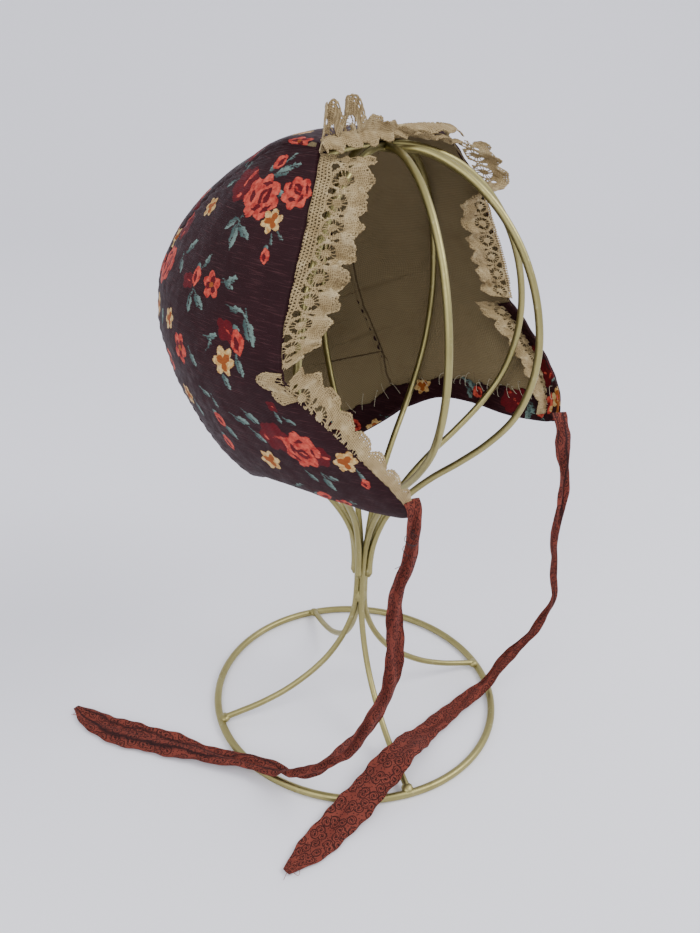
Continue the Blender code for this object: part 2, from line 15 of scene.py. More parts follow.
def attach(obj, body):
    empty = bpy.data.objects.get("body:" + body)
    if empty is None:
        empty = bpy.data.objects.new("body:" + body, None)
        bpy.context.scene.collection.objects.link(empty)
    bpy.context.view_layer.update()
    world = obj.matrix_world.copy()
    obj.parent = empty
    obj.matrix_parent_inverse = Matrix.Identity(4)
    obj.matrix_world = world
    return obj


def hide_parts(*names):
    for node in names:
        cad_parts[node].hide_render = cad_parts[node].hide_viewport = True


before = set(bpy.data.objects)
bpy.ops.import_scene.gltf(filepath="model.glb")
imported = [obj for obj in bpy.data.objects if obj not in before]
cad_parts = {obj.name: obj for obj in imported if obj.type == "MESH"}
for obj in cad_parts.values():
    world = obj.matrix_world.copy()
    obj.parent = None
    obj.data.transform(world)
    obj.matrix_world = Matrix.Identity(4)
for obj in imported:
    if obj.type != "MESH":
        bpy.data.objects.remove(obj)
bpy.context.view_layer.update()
print("solids:", len(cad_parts), "nodes")


def placed(name, data):
    """A new object, put in the scene."""
    thing = bpy.data.objects.new(name, data)
    bpy.context.scene.collection.objects.link(thing)
    return thing

# %% [markdown]
# ## The camera
# The picture was taken from above the wearer's right side of the face. The stand's ring is a
# true circle, so the camera was found by turning it until the ring, the legs and the ribs
# fell on their places in the picture. Sizes below are millimetres where they end in MM.

# %% Set up the camera
MM = 0.001
STAND_FORWARD = 20.4
CAMERA_BACK, CAMERA_UP = 0.457, 0.412
SENSOR, LENS_PIXELS, PICTURE_PIXELS = 36.0, 868.0, 933.0
yaw, pitch, roll, walk = (math.radians(a) for a in (-1.29, 27.4, 2.61, -51.4))
sight = Vector((math.sin(yaw) * math.cos(pitch), math.cos(yaw) * math.cos(pitch), -math.sin(pitch)))
right = sight.cross(Vector((0.0, 0.0, 1.0))).normalized()
upward = right.cross(sight)
leaned = right * math.cos(roll) + upward * math.sin(roll)
raised = upward * math.cos(roll) - right * math.sin(roll)
around = Matrix.Rotation(walk, 3, "Z")
pose = Matrix((around @ leaned, around @ raised, -(around @ sight))).transposed().to_4x4()
pose.translation = around @ Vector((0.0, -CAMERA_BACK, CAMERA_UP))
pose.translation -= Vector((0.0, STAND_FORWARD * MM, 0.0))
lens = bpy.data.cameras.new("camera")
lens.sensor_width = SENSOR
lens.lens = LENS_PIXELS / PICTURE_PIXELS * SENSOR
camera = placed("camera", lens)
camera.matrix_world = pose
bpy.context.scene.camera = camera
print("camera at", [round(c, 3) for c in camera.location])

# %% [markdown]
# ## Small helpers for shapes
# A sheet of cloth is easiest to make as a flat grid whose points are then moved to their
# places. The places come from a few worked-out rows, and a smooth curve through them gives as
# many points as the cloth needs. That keeps the tables short and the cloth smooth.

# %% Smooth rows and moved grids
def finer(rows, count):
    """More rows, on a smooth curve through those that are given."""
    rows = np.asarray(rows, float)
    padded = np.concatenate([[2 * rows[0] - rows[1]], rows, [2 * rows[-1] - rows[-2]]])
    at = np.linspace(0.0, len(rows) - 1.0, count)
    i = np.minimum(at.astype(int), len(rows) - 2)
    t = (at - i).reshape(-1, *([1] * (rows.ndim - 1)))
    a, b, c, d = padded[i], padded[i + 1], padded[i + 2], padded[i + 3]
    return b + 0.5 * t * (c - a + t * (2 * a - 5 * b + 4 * c - d + t * (3 * (b - c) + d - a)))


def finer_sheet(places, rows, columns):
    return finer(finer(places, rows).swapaxes(0, 1), columns).swapaxes(0, 1)


def moved_grid(name, places):
    """A mesh grid whose points are moved to the places, and each point's row and column."""
    rows, columns = places.shape[:2]
    shaped = bmesh.new()
    bmesh.ops.create_grid(shaped, x_segments=columns - 1, y_segments=rows - 1, size=1.0)
    mesh = bpy.data.meshes.new(name)
    shaped.to_mesh(mesh)
    shaped.free()
    flat = np.empty(3 * len(mesh.vertices))
    mesh.vertices.foreach_get("co", flat)
    flat = flat.reshape(-1, 3)
    column = np.rint(0.5 * (flat[:, 0] + 1.0) * (columns - 1)).astype(int)
    row = np.rint(0.5 * (flat[:, 1] + 1.0) * (rows - 1)).astype(int)
    mesh.vertices.foreach_set("co", places[row, column].ravel())
    mesh.update()
    return mesh, row, column


def normals_of(mesh):
    found = np.empty(3 * len(mesh.vertices))
    mesh.vertex_normals.foreach_get("vector", found)
    return found.reshape(-1, 3)


def places_of(mesh):
    found = np.empty(3 * len(mesh.vertices))
    mesh.vertices.foreach_get("co", found)
    return found.reshape(-1, 3)


def note(mesh, name, values):
    """Keeps one number, or one vector, for each point of a mesh, for its material to read."""
    values = np.asarray(values, float)
    vector = values.ndim == 2
    layer = mesh.attributes.new(name, "FLOAT_VECTOR" if vector else "FLOAT", "POINT")
    layer.data.foreach_set("vector" if vector else "value", values.ravel())


def piece_from(mesh, material, slot, wall=None, outward=-1.0):
    """Puts a mesh in the scene as a piece on the one body, with a wall if it is a sheet."""
    mesh.polygons.foreach_set("use_smooth", [True] * len(mesh.polygons))
    mesh.materials.append(material)
    piece = placed(mesh.name, mesh)
    if wall:
        thick = piece.modifiers.new("wall", "SOLIDIFY")
        thick.thickness = wall * MM
        thick.offset = outward
    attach(piece, "root")
    return piece


def unit(vectors):
    vectors = np.asarray(vectors, float)
    return vectors / np.maximum(np.linalg.norm(vectors, axis=-1, keepdims=True), 1e-12)


def soft_noise(at, size, seed, octaves=3):
    """Gentle unevenness: a sum of slanted waves that never lines up, about -1 to 1."""
    dice = np.random.default_rng(seed)
    total = np.zeros(len(at))
    for octave in range(octaves):
        for _ in range(5):
            way = unit(dice.normal(size=at.shape[1])) * math.tau / size * (1.0 + 0.9 * octave)
            total += np.sin(at @ way + dice.uniform(0.0, math.tau)) / (1.6 + 1.4 * octave)
    return total / 4.0


print("helpers ready")

# %% [markdown]
# ## Small helpers for finishes
# Every finish here is a recipe of nodes. Writing the nodes out by hand is long, so a small
# class adds one step at a time and joins it up. Colours are given as a dyer would read them
# off a shade card, 0 to 255, and turned to the linear values that the renderer works in.

# %% Recipes of nodes
def dye(red, green, blue):
    share = [c / 255.0 for c in (red, green, blue)]
    return tuple(c / 12.92 if c <= 0.04045 else ((c + 0.055) / 1.055) ** 2.4 for c in share) + (1.0,)


class Recipe:
    """A material whose steps are added one at a time."""

    def __init__(self, name, roughness, metallic=0.0):
        self.material = bpy.data.materials.new(name)
        self.material.use_nodes = True
        self.tree = self.material.node_tree
        self.shader = self.tree.nodes["Principled BSDF"]
        self.shader.inputs["Roughness"].default_value = roughness
        self.shader.inputs["Metallic"].default_value = metallic

    def step(self, kind, **inputs):
        node = self.tree.nodes.new(kind)
        for name, value in inputs.items():
            self.give(node.inputs[name], value)
        return node

    def give(self, socket, value):
        if isinstance(value, bpy.types.NodeSocket):
            self.tree.links.new(value, socket)
        else:
            socket.default_value = value

    def sum(self, operation, a, b=0.0):
        node = self.tree.nodes.new("ShaderNodeMath")
        node.operation = operation
        for socket, value in zip(node.inputs, (a, b)):
            self.give(socket, value)
        return node.outputs[0]

    def sum3(self, operation, a, b=(0.0, 0.0, 0.0)):
        node = self.tree.nodes.new("ShaderNodeVectorMath")
        node.operation = operation
        self.give(node.inputs[0], a)
        self.give(node.inputs[1], b)
        return node.outputs["Value" if operation == "LENGTH" else "Vector"]

    def spread(self, value, low, high, to_low=0.0, to_high=1.0):
        node = self.tree.nodes.new("ShaderNodeMapRange")
        for index, given in enumerate((value, low, high, to_low, to_high)):
            self.give(node.inputs[index], given)
        return node.outputs[0]

    def blend(self, share, first, second):
        node = self.tree.nodes.new("ShaderNodeMix")
        node.data_type = "RGBA"
        self.give(node.inputs[0], share)
        self.give(node.inputs[6], first)
        self.give(node.inputs[7], second)
        return node.outputs[2]

    def noted(self, name, vector=False):
        node = self.tree.nodes.new("ShaderNodeAttribute")
        node.attribute_name = name
        return node.outputs["Vector" if vector else "Fac"]

    def here(self, scale=(1.0, 1.0, 1.0)):
        """The piece's own place, in millimetres, stretched by a scale."""
        place = self.step("ShaderNodeTexCoord").outputs["Object"]
        return self.step("ShaderNodeMapping", Vector=place, Scale=[s / MM for s in scale]).outputs[0]

    def cloud(self, where, size, detail=3.0, roughness=0.55):
        node = self.step("ShaderNodeTexNoise", Vector=where, Scale=1.0 / size, Detail=detail)
        node.inputs["Roughness"].default_value = roughness
        return node.outputs["Fac"]

    def bumps(self, height, depth, distance=0.0003, over=None):
        node = self.step("ShaderNodeBump", Height=height, Strength=depth, Distance=distance)
        if over is not None:
            self.give(node.inputs["Normal"], over)
        return node.outputs[0]

    def done(self, colour, normal=None, roughness=None):
        self.give(self.shader.inputs["Base Color"], colour)
        if normal is not None:
            self.give(self.shader.inputs["Normal"], normal)
        if roughness is not None:
            self.give(self.shader.inputs["Roughness"], roughness)
        return self.material


print("recipes ready")

# %% [markdown]
# ## The finish of the ties
# The ties are strips of a rust-red cotton printed all over with small black-brown curls. Each
# curl is drawn round the middle of a cell of a Voronoi pattern: the angle and the distance
# from that middle make a spiral line inside a thin ring. Two dented valleys run along the tape,
# where the real one is folded, and painted shade darkens them. The pattern follows the tape's
# own length and width, which are kept on its points, so it bends and twists with the tape.

# %% Scroll-printed tape
def scroll_finish():
    r = Recipe("scroll_printed_tape", 0.86)
    laid = r.noted("laid", vector=True)
    cell = r.step("ShaderNodeTexVoronoi", Vector=laid, Scale=0.165)
    cell.voronoi_dimensions = "2D"
    cell.inputs["Randomness"].default_value = 0.85
    from_middle = r.sum3("SUBTRACT", laid, cell.outputs["Position"])
    away = r.step("ShaderNodeSeparateXYZ", Vector=from_middle)
    far = r.sum3("LENGTH", from_middle)
    angle = r.sum("ARCTAN2", away.outputs[1], away.outputs[0])
    lean = r.sum("MULTIPLY", cell.outputs["Color"], 6.28)
    curl = r.sum("SINE", r.sum("ADD", r.sum("ADD", angle, lean), r.sum("MULTIPLY", far, 2.3)))
    line = r.spread(r.sum("ABSOLUTE", r.sum("SUBTRACT", curl, 0.1)), 0.52, 0.24)
    inside = r.spread(far, 3.3, 2.9)
    ring = r.spread(r.sum("ABSOLUTE", r.sum("SUBTRACT", far, 2.75)), 0.34, 0.14)
    curls = r.sum("MAXIMUM", r.sum("MULTIPLY", line, inside), ring)
    knot = r.spread(far, 0.8, 0.55)
    small = r.step("ShaderNodeTexVoronoi", Vector=laid, Scale=0.48)
    small.voronoi_dimensions = "2D"
    dots = r.spread(small.outputs["Distance"], 0.24, 0.15)
    black = r.sum("MAXIMUM", r.sum("MAXIMUM", curls, knot), r.sum("MULTIPLY", dots, 0.85))
    faded = r.blend(r.cloud(laid, 7.0), dye(98, 40, 33), dye(130, 64, 51))
    printed = r.blend(r.sum("MULTIPLY", black, 0.96), faded, dye(28, 14, 15))
    worn_and_shaded = r.blend(r.spread(r.cloud(laid, 2.2), 0.55, 0.85, 0.0, 0.35), printed, dye(120, 70, 58))
    # Painted shade: two bands along the tape, where it is folded, are darkened with a fixed dark
    # colour; the same bands dent the bump.
    across = r.step("ShaderNodeSeparateXYZ", Vector=laid).outputs[1]
    across = r.sum("ADD", across, r.sum("MULTIPLY", r.sum("SUBTRACT", r.cloud(laid, 16.0), 0.5), 9.0))
    upper = r.spread(r.sum("ABSOLUTE", r.sum("SUBTRACT", across, 3.4)), 0.5, 2.3, 0.88, 0.0)
    lower = r.spread(r.sum("ABSOLUTE", r.sum("ADD", across, 5.6)), 0.3, 1.6, 0.75, 0.0)
    fold_dent_and_shade = r.sum("MAXIMUM", upper, lower)
    worn_and_shaded = r.blend(fold_dent_and_shade, worn_and_shaded, dye(34, 16, 17))
    thread = r.step("ShaderNodeTexWave", Vector=laid, Scale=0.9, Distortion=0.6)
    cross = r.step("ShaderNodeTexWave", Vector=laid, Scale=0.9, Distortion=0.6)
    cross.bands_direction = "Y"
    weave = r.sum("MULTIPLY", thread.outputs["Fac"], cross.outputs["Fac"])
    rumple = r.bumps(r.cloud(laid, 3.4, 4.0), 0.5, 0.0009, r.bumps(fold_dent_and_shade, -0.7, 0.0010))
    r.shader.inputs["Specular IOR Level"].default_value = 0.2
    return r.done(worn_and_shaded, r.bumps(weave, 0.5, 0.00012, rumple))


scroll_tape = scroll_finish()
print("finish:", scroll_tape.name)

# %% [markdown]
# ## The two ties
# A tie is one flat tape about 23 mm wide, crumpled lengthwise where it hangs and spread out
# where it lies. The table has the tape's route, how wide it looks there, how thick its folds
# pile up and which way its width faces. A ring of points is moved to the outline of the
# folded tape at each step of the route, and the rings are the rows of one grid.

# %% Routes of the ties
RIGHT_TIE = [
    (-65.0, -79.0, 211.5, 8.5, 1.8, 140.0),
    (-68.5, -84.4, 208.0, 7.0, 2.6, 135.0),
    (-69.0, -85.0, 195.0, 7.0, 3.6, 130.0),
    (-69.5, -84.0, 180.0, 7.5, 4.0, 130.0),
    (-72.0, -80.5, 163.0, 7.5, 4.0, 130.0),
    (-72.3, -80.0, 149.0, 8.0, 4.0, 130.0),
    (-71.2, -81.2, 133.0, 9.5, 3.6, 130.0),
    (-71.0, -81.4, 117.0, 9.5, 3.6, 130.0),
    (-72.2, -80.0, 101.0, 8.5, 4.0, 130.0),
    (-75.5, -75.5, 83.0, 8.5, 4.0, 125.0),
    (-79.5, -67.5, 62.0, 9.0, 4.0, 122.0),
    (-82.5, -56.5, 43.0, 9.0, 4.0, 118.0),
    (-86.5, -41.5, 25.0, 9.5, 4.0, 112.0),
    (-89.5, -25.0, 12.5, 10.5, 3.6, 110.0),
    (-91.8, -8.0, 8.2, 12.0, 3.0, 170.0),
    (-97.0, 6.0, 7.2, 12.5, 3.0, 160.0),
    (-104.0, 21.0, 4.4, 13.0, 3.0, 152.0),
    (-111.5, 39.0, 3.0, 16.5, 3.0, 152.0),
    (-119.0, 57.0, 2.6, 19.5, 3.0, 152.0),
    (-127.5, 74.0, 2.6, 20.0, 3.0, 155.0),
    (-134.0, 90.0, 2.4, 19.0, 3.0, 163.0),
    (-137.0, 107.0, 2.2, 15.0, 2.6, 175.0),
    (-138.0, 123.0, 2.0, 4.0, 2.0, 180.0),
]
LEFT_TIE = [
    (73.6, -80.4, 214.0, 11.0, 2.0, 345.0),
    (71.5, -84.6, 207.5, 9.0, 2.6, 330.0),
    (75.6, -85.2, 195.0, 11.0, 3.6, 330.0),
    (79.0, -86.0, 181.0, 9.5, 4.0, 340.0),
    (80.5, -87.8, 164.0, 8.5, 4.0, 350.0),
    (80.4, -87.9, 149.0, 10.0, 4.0, 0.0),
    (80.5, -88.0, 133.0, 10.0, 4.0, 0.0),
    (81.6, -89.2, 116.0, 8.0, 4.2, 10.0),
    (82.6, -90.6, 101.0, 7.0, 4.2, 20.0),
    (84.6, -92.8, 86.0, 7.5, 4.0, 30.0),
    (82.8, -90.5, 71.0, 7.0, 4.0, 40.0),
    (77.5, -84.4, 54.5, 7.0, 4.0, 50.0),
    (75.0, -76.0, 38.0, 7.5, 4.0, 60.0),
    (70.5, -69.0, 23.0, 8.0, 4.0, 70.0),
    (62.0, -65.5, 10.4, 8.5, 3.4, 80.0),
    (47.0, -61.8, 5.6, 10.0, 3.4, 84.0),
    (29.0, -60.5, 4.0, 12.0, 3.4, 88.0),
    (10.0, -60.0, 4.4, 13.0, 3.2, 92.0),
    (-8.0, -61.4, 7.8, 15.0, 3.0, 92.0),
    (-21.0, -63.4, 13.2, 17.0, 3.0, 94.0),
    (-35.0, -65.4, 16.2, 18.5, 3.0, 94.0),
    (-50.0, -65.6, 13.4, 21.0, 3.0, 91.0),
    (-66.0, -65.4, 8.8, 22.0, 3.0, 90.0),
    (-82.0, -65.4, 5.2, 21.0, 3.0, 90.0),
    (-100.0, -65.6, 2.8, 20.0, 3.0, 90.0),
    (-117.0, -65.6, 2.4, 15.0, 2.6, 90.0),
    (-132.0, -65.0, 2.0, 5.0, 2.0, 90.0),
]
TAPE_WIDTH = 23.0
CLOTH = 0.7
TIE_STATIONS = 330
TIE_ROUND = 40


def tie_frames(table):
    """Route, run, width way, thickness way, width and thickness at each station, metres."""
    rows = np.array(table)
    rows[:, 5] = np.unwrap(rows[:, 5], period=180.0)
    rows = finer(rows, TIE_STATIONS)
    route = rows[:, :3] * MM - np.array([0.0, STAND_FORWARD * MM, 0.0])
    run = unit(np.gradient(route, axis=0))
    turn = np.radians(rows[:, 5])
    wide = np.stack([np.cos(turn), np.sin(turn), np.zeros(len(turn))], axis=1)
    wide = unit(wide - run * np.sum(wide * run, axis=1, keepdims=True))
    return route, run, wide, np.cross(run, wide), rows[:, 3] * MM, rows[:, 4] * MM


def tie_shape(name, table, folds, seed):
    """The tape's folded outline carried along its route, with both ends closed."""
    route, run, wide, thick, width, pile = tie_frames(table)
    reached = np.concatenate([[0.0], np.cumsum(np.linalg.norm(np.diff(route, axis=0), axis=1))])
    turn = np.linspace(0.0, math.tau, TIE_ROUND + 1)
    across = np.cos(turn)
    side = np.sign(np.sin(turn)) * np.abs(np.sin(turn)) ** 0.35
    s = reached[:, None] / MM
    drift = 1.3 * np.sin(s / 23.0 + seed) + 0.8 * np.sin(s / 9.1 + 2.0 * seed)
    ease = np.clip(np.minimum(s, s[-1] - s) / 12.0, 0.25, 1.0)
    fold = np.sin(folds * across[None, :] * math.pi + drift) + 0.35 * np.sin(5.0 * across + s / 6.0)
    lift = 0.40 * (pile[:, None] - CLOTH * MM) * fold * ease
    wander = 1.0 + 0.05 * np.sin(s / 5.3 + seed) + 0.04 * np.sin(s / 2.1)
    reach = 0.5 * width[:, None] * across[None, :] * wander
    up = lift + 0.5 * CLOTH * MM * side[None, :]
    places = route[:, None, :] + wide[:, None, :] * reach[..., None] + thick[:, None, :] * up[..., None]
    places[..., 2] = np.maximum(places[..., 2], 0.0007)
    mesh, row, column = moved_grid(name, places)
    laid_across = 0.5 * TAPE_WIDTH * across[column] + np.where(side[column] < 0.0, 31.0, 0.0)
    note(mesh, "laid", np.stack([reached[row] / MM, laid_across, np.zeros(len(row))], axis=1))
    shaped = bmesh.new()
    shaped.from_mesh(mesh)
    bmesh.ops.remove_doubles(shaped, verts=shaped.verts, dist=0.00001)
    bmesh.ops.holes_fill(shaped, edges=shaped.edges, sides=TIE_ROUND + 2)
    bmesh.ops.recalc_face_normals(shaped, faces=shaped.faces)
    shaped.to_mesh(mesh)
    shaped.free()
    return mesh, route, float(reached[-1])


tie_pieces = {}
for name, table, folds, seed in (
    ("right_tape", RIGHT_TIE, 1.6, 0.7),
    ("left_tape", LEFT_TIE, 1.3, 2.4),
):
    mesh, route, length = tie_shape(name, table, folds, seed)
    tie_pieces[name] = (piece_from(mesh, scroll_tape, "scroll_print_tape"), route, length)
    print(name, "length", round(length, 4), "m,", len(mesh.polygons), "faces")
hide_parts("right_tie")
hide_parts("left_tie")

# %% [markdown]
# ## Loose threads
# The tapes were cut, not hemmed, at their ends, so a few threads hang out of each point. Where
# the near tie is sewn on, dark sewing thread was left long and curls. A thread is a thin round
# curve, made a mesh so that it can be kept with its tie. They make the cut edge look real.

# %% Threads at the ends of the ties
def tube_mesh(name, routes, thickness, roundness=2):
    """Round strands along several routes, as one mesh."""
    curve = bpy.data.curves.new(name, "CURVE")
    curve.dimensions = "3D"
    curve.bevel_depth = 0.5 * thickness * MM
    curve.bevel_resolution = roundness
    curve.use_fill_caps = True
    for route in routes:
        spline = curve.splines.new("POLY")
        spline.points.add(len(route) - 1)
        spline.points.foreach_set("co", np.column_stack([route, np.ones(len(route))]).ravel())
    holder = placed(name, curve)
    bpy.context.view_layer.update()
    solid = holder.evaluated_get(bpy.context.evaluated_depsgraph_get())
    mesh = bpy.data.meshes.new_from_object(solid)
    mesh.name = name
    bpy.data.objects.remove(holder, do_unlink=True)
    shaped = bmesh.new()
    shaped.from_mesh(mesh)
    bmesh.ops.remove_doubles(shaped, verts=shaped.verts, dist=0.000002)
    bmesh.ops.recalc_face_normals(shaped, faces=shaped.faces)
    shaped.to_mesh(mesh)
    shaped.free()
    return mesh


def plain_thread(name, shade):
    r = Recipe(name, 0.8)
    twist = r.cloud(r.here(), 0.5)
    return r.done(r.blend(twist, shade, tuple(0.6 * c for c in shade[:3]) + (1.0,)))


def frayed_end(route, count, reach, seed):
    """Threads that leave the last bit of a tape and stray a little."""
    dice = np.random.default_rng(seed)
    run = unit(route[-1] - route[-12])
    threads = []
    for _ in range(count):
        start = route[-8] + dice.normal(size=3) * [0.0012, 0.0012, 0.0003]
        stray = run * reach * dice.uniform(0.5, 1.0) + dice.normal(size=3) * [0.002, 0.002, 0.0006]
        bend = dice.normal(size=3) * [0.002, 0.002, 0.0006]
        t = np.linspace(0.0, 1.0, 10)[:, None]
        line = start + stray * t + bend * np.sin(t * math.pi)
        line[:, 2] = np.maximum(line[:, 2], 0.0006)
        threads.append(line)
    return threads


rust_thread = plain_thread("rust_thread", dye(150, 70, 52))
dark_thread = plain_thread("dark_thread", dye(38, 24, 26))
tie_threads = {}
for name, seed in (("right_tape", 3), ("left_tape", 8)):
    route = tie_pieces[name][1]
    mesh = tube_mesh(name + "_frayed_end", frayed_end(route, 9, 0.006, seed), 0.28, 1)
    tie_threads[name] = [piece_from(mesh, rust_thread, "scroll_print_tape")]
sewn_on = tie_pieces["right_tape"][1]
start = sewn_on[np.argmin(np.abs(sewn_on[:, 2] - 199.0 * MM))]
t = np.linspace(0.0, 1.0, 26)[:, None]
curls = []
for turn, drop, swing, phase in ((2.4, 11.0, 3.0, 0.4), (1.7, 8.0, 4.0, 2.2), (3.0, 13.0, 2.2, 4.0)):
    angle = math.tau * turn * t + phase
    sway = np.hstack([np.cos(angle), np.sin(angle), np.zeros_like(t)]) * swing * np.sqrt(t)
    curls.append(start + (sway + np.hstack([-1.5 * t, 1.0 * t, -drop * t])) * MM)
hair = start + np.hstack([6.0 * t - 16.0 * t**2, 2.0 + 0 * t, -14.0 - 13.0 * t + 9.0 * t**2]) * MM
mesh = tube_mesh("sewing_thread_ends", curls + [hair], 0.3, 1)
tie_threads["right_tape"].append(piece_from(mesh, dark_thread, "scroll_print_tape"))
print("threads:", sum(len(found) for found in tie_threads.values()), "pieces")

# %% [markdown]
# ## The stand's finish
# The stand is round steel wire with a satin, slightly olive brass finish. Two close tones lie
# in patches, some spots are rubbed lighter, and a fine unevenness breaks up the shine.

# %% Satin brass
def brass_finish():
    r = Recipe("satin_brass", 0.42, 1.0)
    where = r.here()
    patches = r.cloud(where, 14.0, 4.0)
    tone = r.blend(patches, dye(138, 129, 82), dye(170, 161, 110))
    rubbed = r.blend(r.spread(r.cloud(where, 3.0), 0.62, 0.78, 0.0, 0.5), tone, dye(192, 186, 148))
    rough = r.spread(r.cloud(where, 1.2, 5.0), 0.3, 0.7, 0.34, 0.50)
    return r.done(rubbed, r.bumps(r.cloud(where, 0.5, 5.0), 0.10, 0.0001), rough)


satin_brass = brass_finish()
print("finish:", satin_brass.name)

# %% [markdown]
# ## The wire stand
# The base ring is a circle turned round the axis. Four wires make the dome: two of them run on
# down through the stem into legs, and the other two are welded to the bundle. Every crossing
# has a small bead of solder, which is a rounded lump squashed along the wire.

# %% Ring, wires and solder
LEG_ROWS = [
    (91.6, 4.4), (80.0, 6.9), (66.0, 10.4), (50.0, 16.6), (36.0, 25.0), (26.0, 33.0),
    (19.0, 40.5), (12.5, 50.0), (7.6, 60.0), (4.0, 71.0), (2.7, 84.0), (2.7, 104.0),
    (4.2, 120.0), (8.6, 134.0),
]
WELDED_END_ROWS = [(5.3, 101.0), (5.3, 110.0), (6.6, 122.0), (10.0, 135.0)]
RIB_ROWS = [
    (15.5, 147.7), (27.5, 164.5), (40.7, 179.0), (56.0, 193.0), (70.5, 208.0), (82.5, 225.0),
    (88.9, 244.0), (90.6, 264.0), (87.6, 284.0), (81.0, 303.0), (71.2, 320.0), (57.5, 335.5),
    (40.6, 347.5), (20.5, 354.8),
]
CROWN_HEIGHT = 357.0
RING_RADIUS, RING_WIRE_RADIUS, WIRE = 92.6, 2.4, 4.0
FIRST_LEG = -28.9
# Each bead: how far from the axis, how high, and its reach in three directions.
LEG_BEAD = (90.2, 4.3, (3.6, 3.6, 2.6))
STEM_BEAD = (4.8, 103.0, (2.1, 2.1, 5.0))
BUNDLE_BEAD = (0.0, 83.0, (4.2, 4.2, 6.0))
CROWN_BEAD = (0.0, CROWN_HEIGHT - 1.2, (4.6, 4.6, 2.9))


def beside_axis(angle, distance, height):
    turn = math.radians(angle)
    return [distance * math.cos(turn), distance * math.sin(turn) - STAND_FORWARD, height]


def wire_route(angle, rows, drop):
    one = [beside_axis(angle, *row) for row in rows]
    other = [beside_axis(angle + 180.0, *row) for row in rows]
    whole = one + [beside_axis(0.0, 0.0, CROWN_HEIGHT - drop)] + other[::-1]
    return finer(whole, 8 * len(whole)) * MM


def ring_mesh():
    shaped = bmesh.new()
    round_wire = bmesh.ops.create_circle(shaped, segments=20, radius=RING_WIRE_RADIUS * MM)
    place = Matrix.Translation((RING_RADIUS * MM, 0.0, RING_WIRE_RADIUS * MM))
    place = place @ Matrix.Rotation(math.pi / 2, 4, "X")
    bmesh.ops.transform(shaped, matrix=place, verts=round_wire["verts"])
    bmesh.ops.spin(
        shaped,
        geom=shaped.verts[:] + shaped.edges[:],
        axis=(0.0, 0.0, 1.0),
        cent=(0.0, 0.0, 0.0),
        angle=math.tau,
        steps=144,
        use_merge=True,
    )
    bmesh.ops.recalc_face_normals(shaped, faces=shaped.faces)
    bmesh.ops.translate(shaped, verts=shaped.verts, vec=(0.0, -STAND_FORWARD * MM, 0.0))
    return shaped


def add_bead(shaped, angle, bead, seed):
    """One lump of solder: a ball, pulled out of round."""
    distance, height, size = bead
    centre = beside_axis(angle, distance, height)
    ball = bmesh.ops.create_icosphere(shaped, subdivisions=3, radius=1.0)
    points = np.array([v.co for v in ball["verts"]])
    swell = 1.0 + 0.10 * soft_noise(points, 1.3, seed)
    for vertex, point, grown in zip(ball["verts"], points, swell):
        vertex.co = Vector(centre) * MM + Vector(point * grown * np.array(size)) * MM


stand_shape = ring_mesh()
for turn in range(4):
    angle = FIRST_LEG + 45.0 * turn
    lower = LEG_ROWS if turn % 2 == 0 else WELDED_END_ROWS
    wire = tube_mesh("wire", [wire_route(angle, lower + RIB_ROWS, 0.8 * turn)], WIRE, 3)
    stand_shape.from_mesh(wire)
for turn in range(4):
    add_bead(stand_shape, FIRST_LEG + 90.0 * turn, LEG_BEAD, turn)
    add_bead(stand_shape, FIRST_LEG + 45.0 + 90.0 * turn, STEM_BEAD, 4 + turn)
add_bead(stand_shape, 0.0, BUNDLE_BEAD, 9)
add_bead(stand_shape, 0.0, CROWN_BEAD, 10)
stand_mesh = bpy.data.meshes.new("stand_wires")
stand_shape.to_mesh(stand_mesh)
stand_shape.free()
stand = piece_from(stand_mesh, satin_brass, "satin_brass")
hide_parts("wire_stand")
print("stand:", len(stand_mesh.polygons), "faces")

# %% [markdown]
# ## The cap's form
# The cap was stretched over a frame, so its outline is smooth: level slices give its half
# width and how far it reaches back, and three panels are cut out of that form. A ray that
# fans out from the ear line meets the form where the centre panel's rows lie, and the side
# panels fill what is left up to their front outline. These are the solids' own formulas.

# %% Tables of the form
CAP_ROWS = [
    (150.0, 24.0, 57.0), (165.0, 45.0, 71.0), (180.0, 63.0, 84.0), (200.0, 82.0, 99.0),
    (220.0, 92.0, 115.0), (240.0, 98.5, 128.0), (260.0, 101.5, 134.5), (280.0, 98.0, 136.0),
    (300.0, 89.0, 128.0), (320.0, 78.5, 110.5), (335.0, 69.5, 89.5), (348.0, 60.0, 67.0),
    (354.0, 55.5, 56.0), (358.5, 50.0, 43.0), (361.0, 40.0, 33.0), (362.2, 20.0, 23.0),
    (362.5, 0.0, 15.0),
]
SEAM_ROWS = [
    (79.0, 49.0), (110.0, 51.5), (143.0, 60.0), (170.0, 71.0), (186.0, 76.0),
    (199.0, 79.5), (219.0, 80.0), (241.0, 76.0), (255.0, 69.5), (262.0, 66.0),
]
CHEEK_RIM = [
    (78.5, 204.5), (80.5, 210.0), (76.0, 220.0), (67.0, 230.0), (56.0, 240.0), (43.0, 250.5),
    (26.5, 263.5),
]
FACE_EDGE = [
    (26.5, 263.5), (24.5, 272.0), (21.0, 290.0), (18.2, 307.0), (15.0, 325.0), (11.0, 340.0),
    (7.5, 349.5), (3.0, 358.5),
]
HEM = [
    (78.5, 204.5), (74.0, 201.8), (67.0, 200.3), (48.0, 198.6), (24.0, 198.0), (5.0, 196.3),
    (-6.0, 193.8), (-15.0, 189.5), (-22.0, 185.5), (-27.0, 182.8),
]
EAR = np.array([-15.0, 262.0])
WIDEST_BEHIND, BACK_ROUNDNESS, FRONT_TAPER, NAPE_ANGLE = 15.0, 1.9, 0.002, 249.0
RIM_BEND, COLUMN_BIAS = 5.0 / 16.0, 1.35
RIGHT_TIP_DROP, LEFT_TIP_LIFT, RIGHT_RIM_ROLL, LEFT_RIM_ROLL, ROLL_WIDTH = 5.0, 3.0, 4.0, 6.0, 13.0
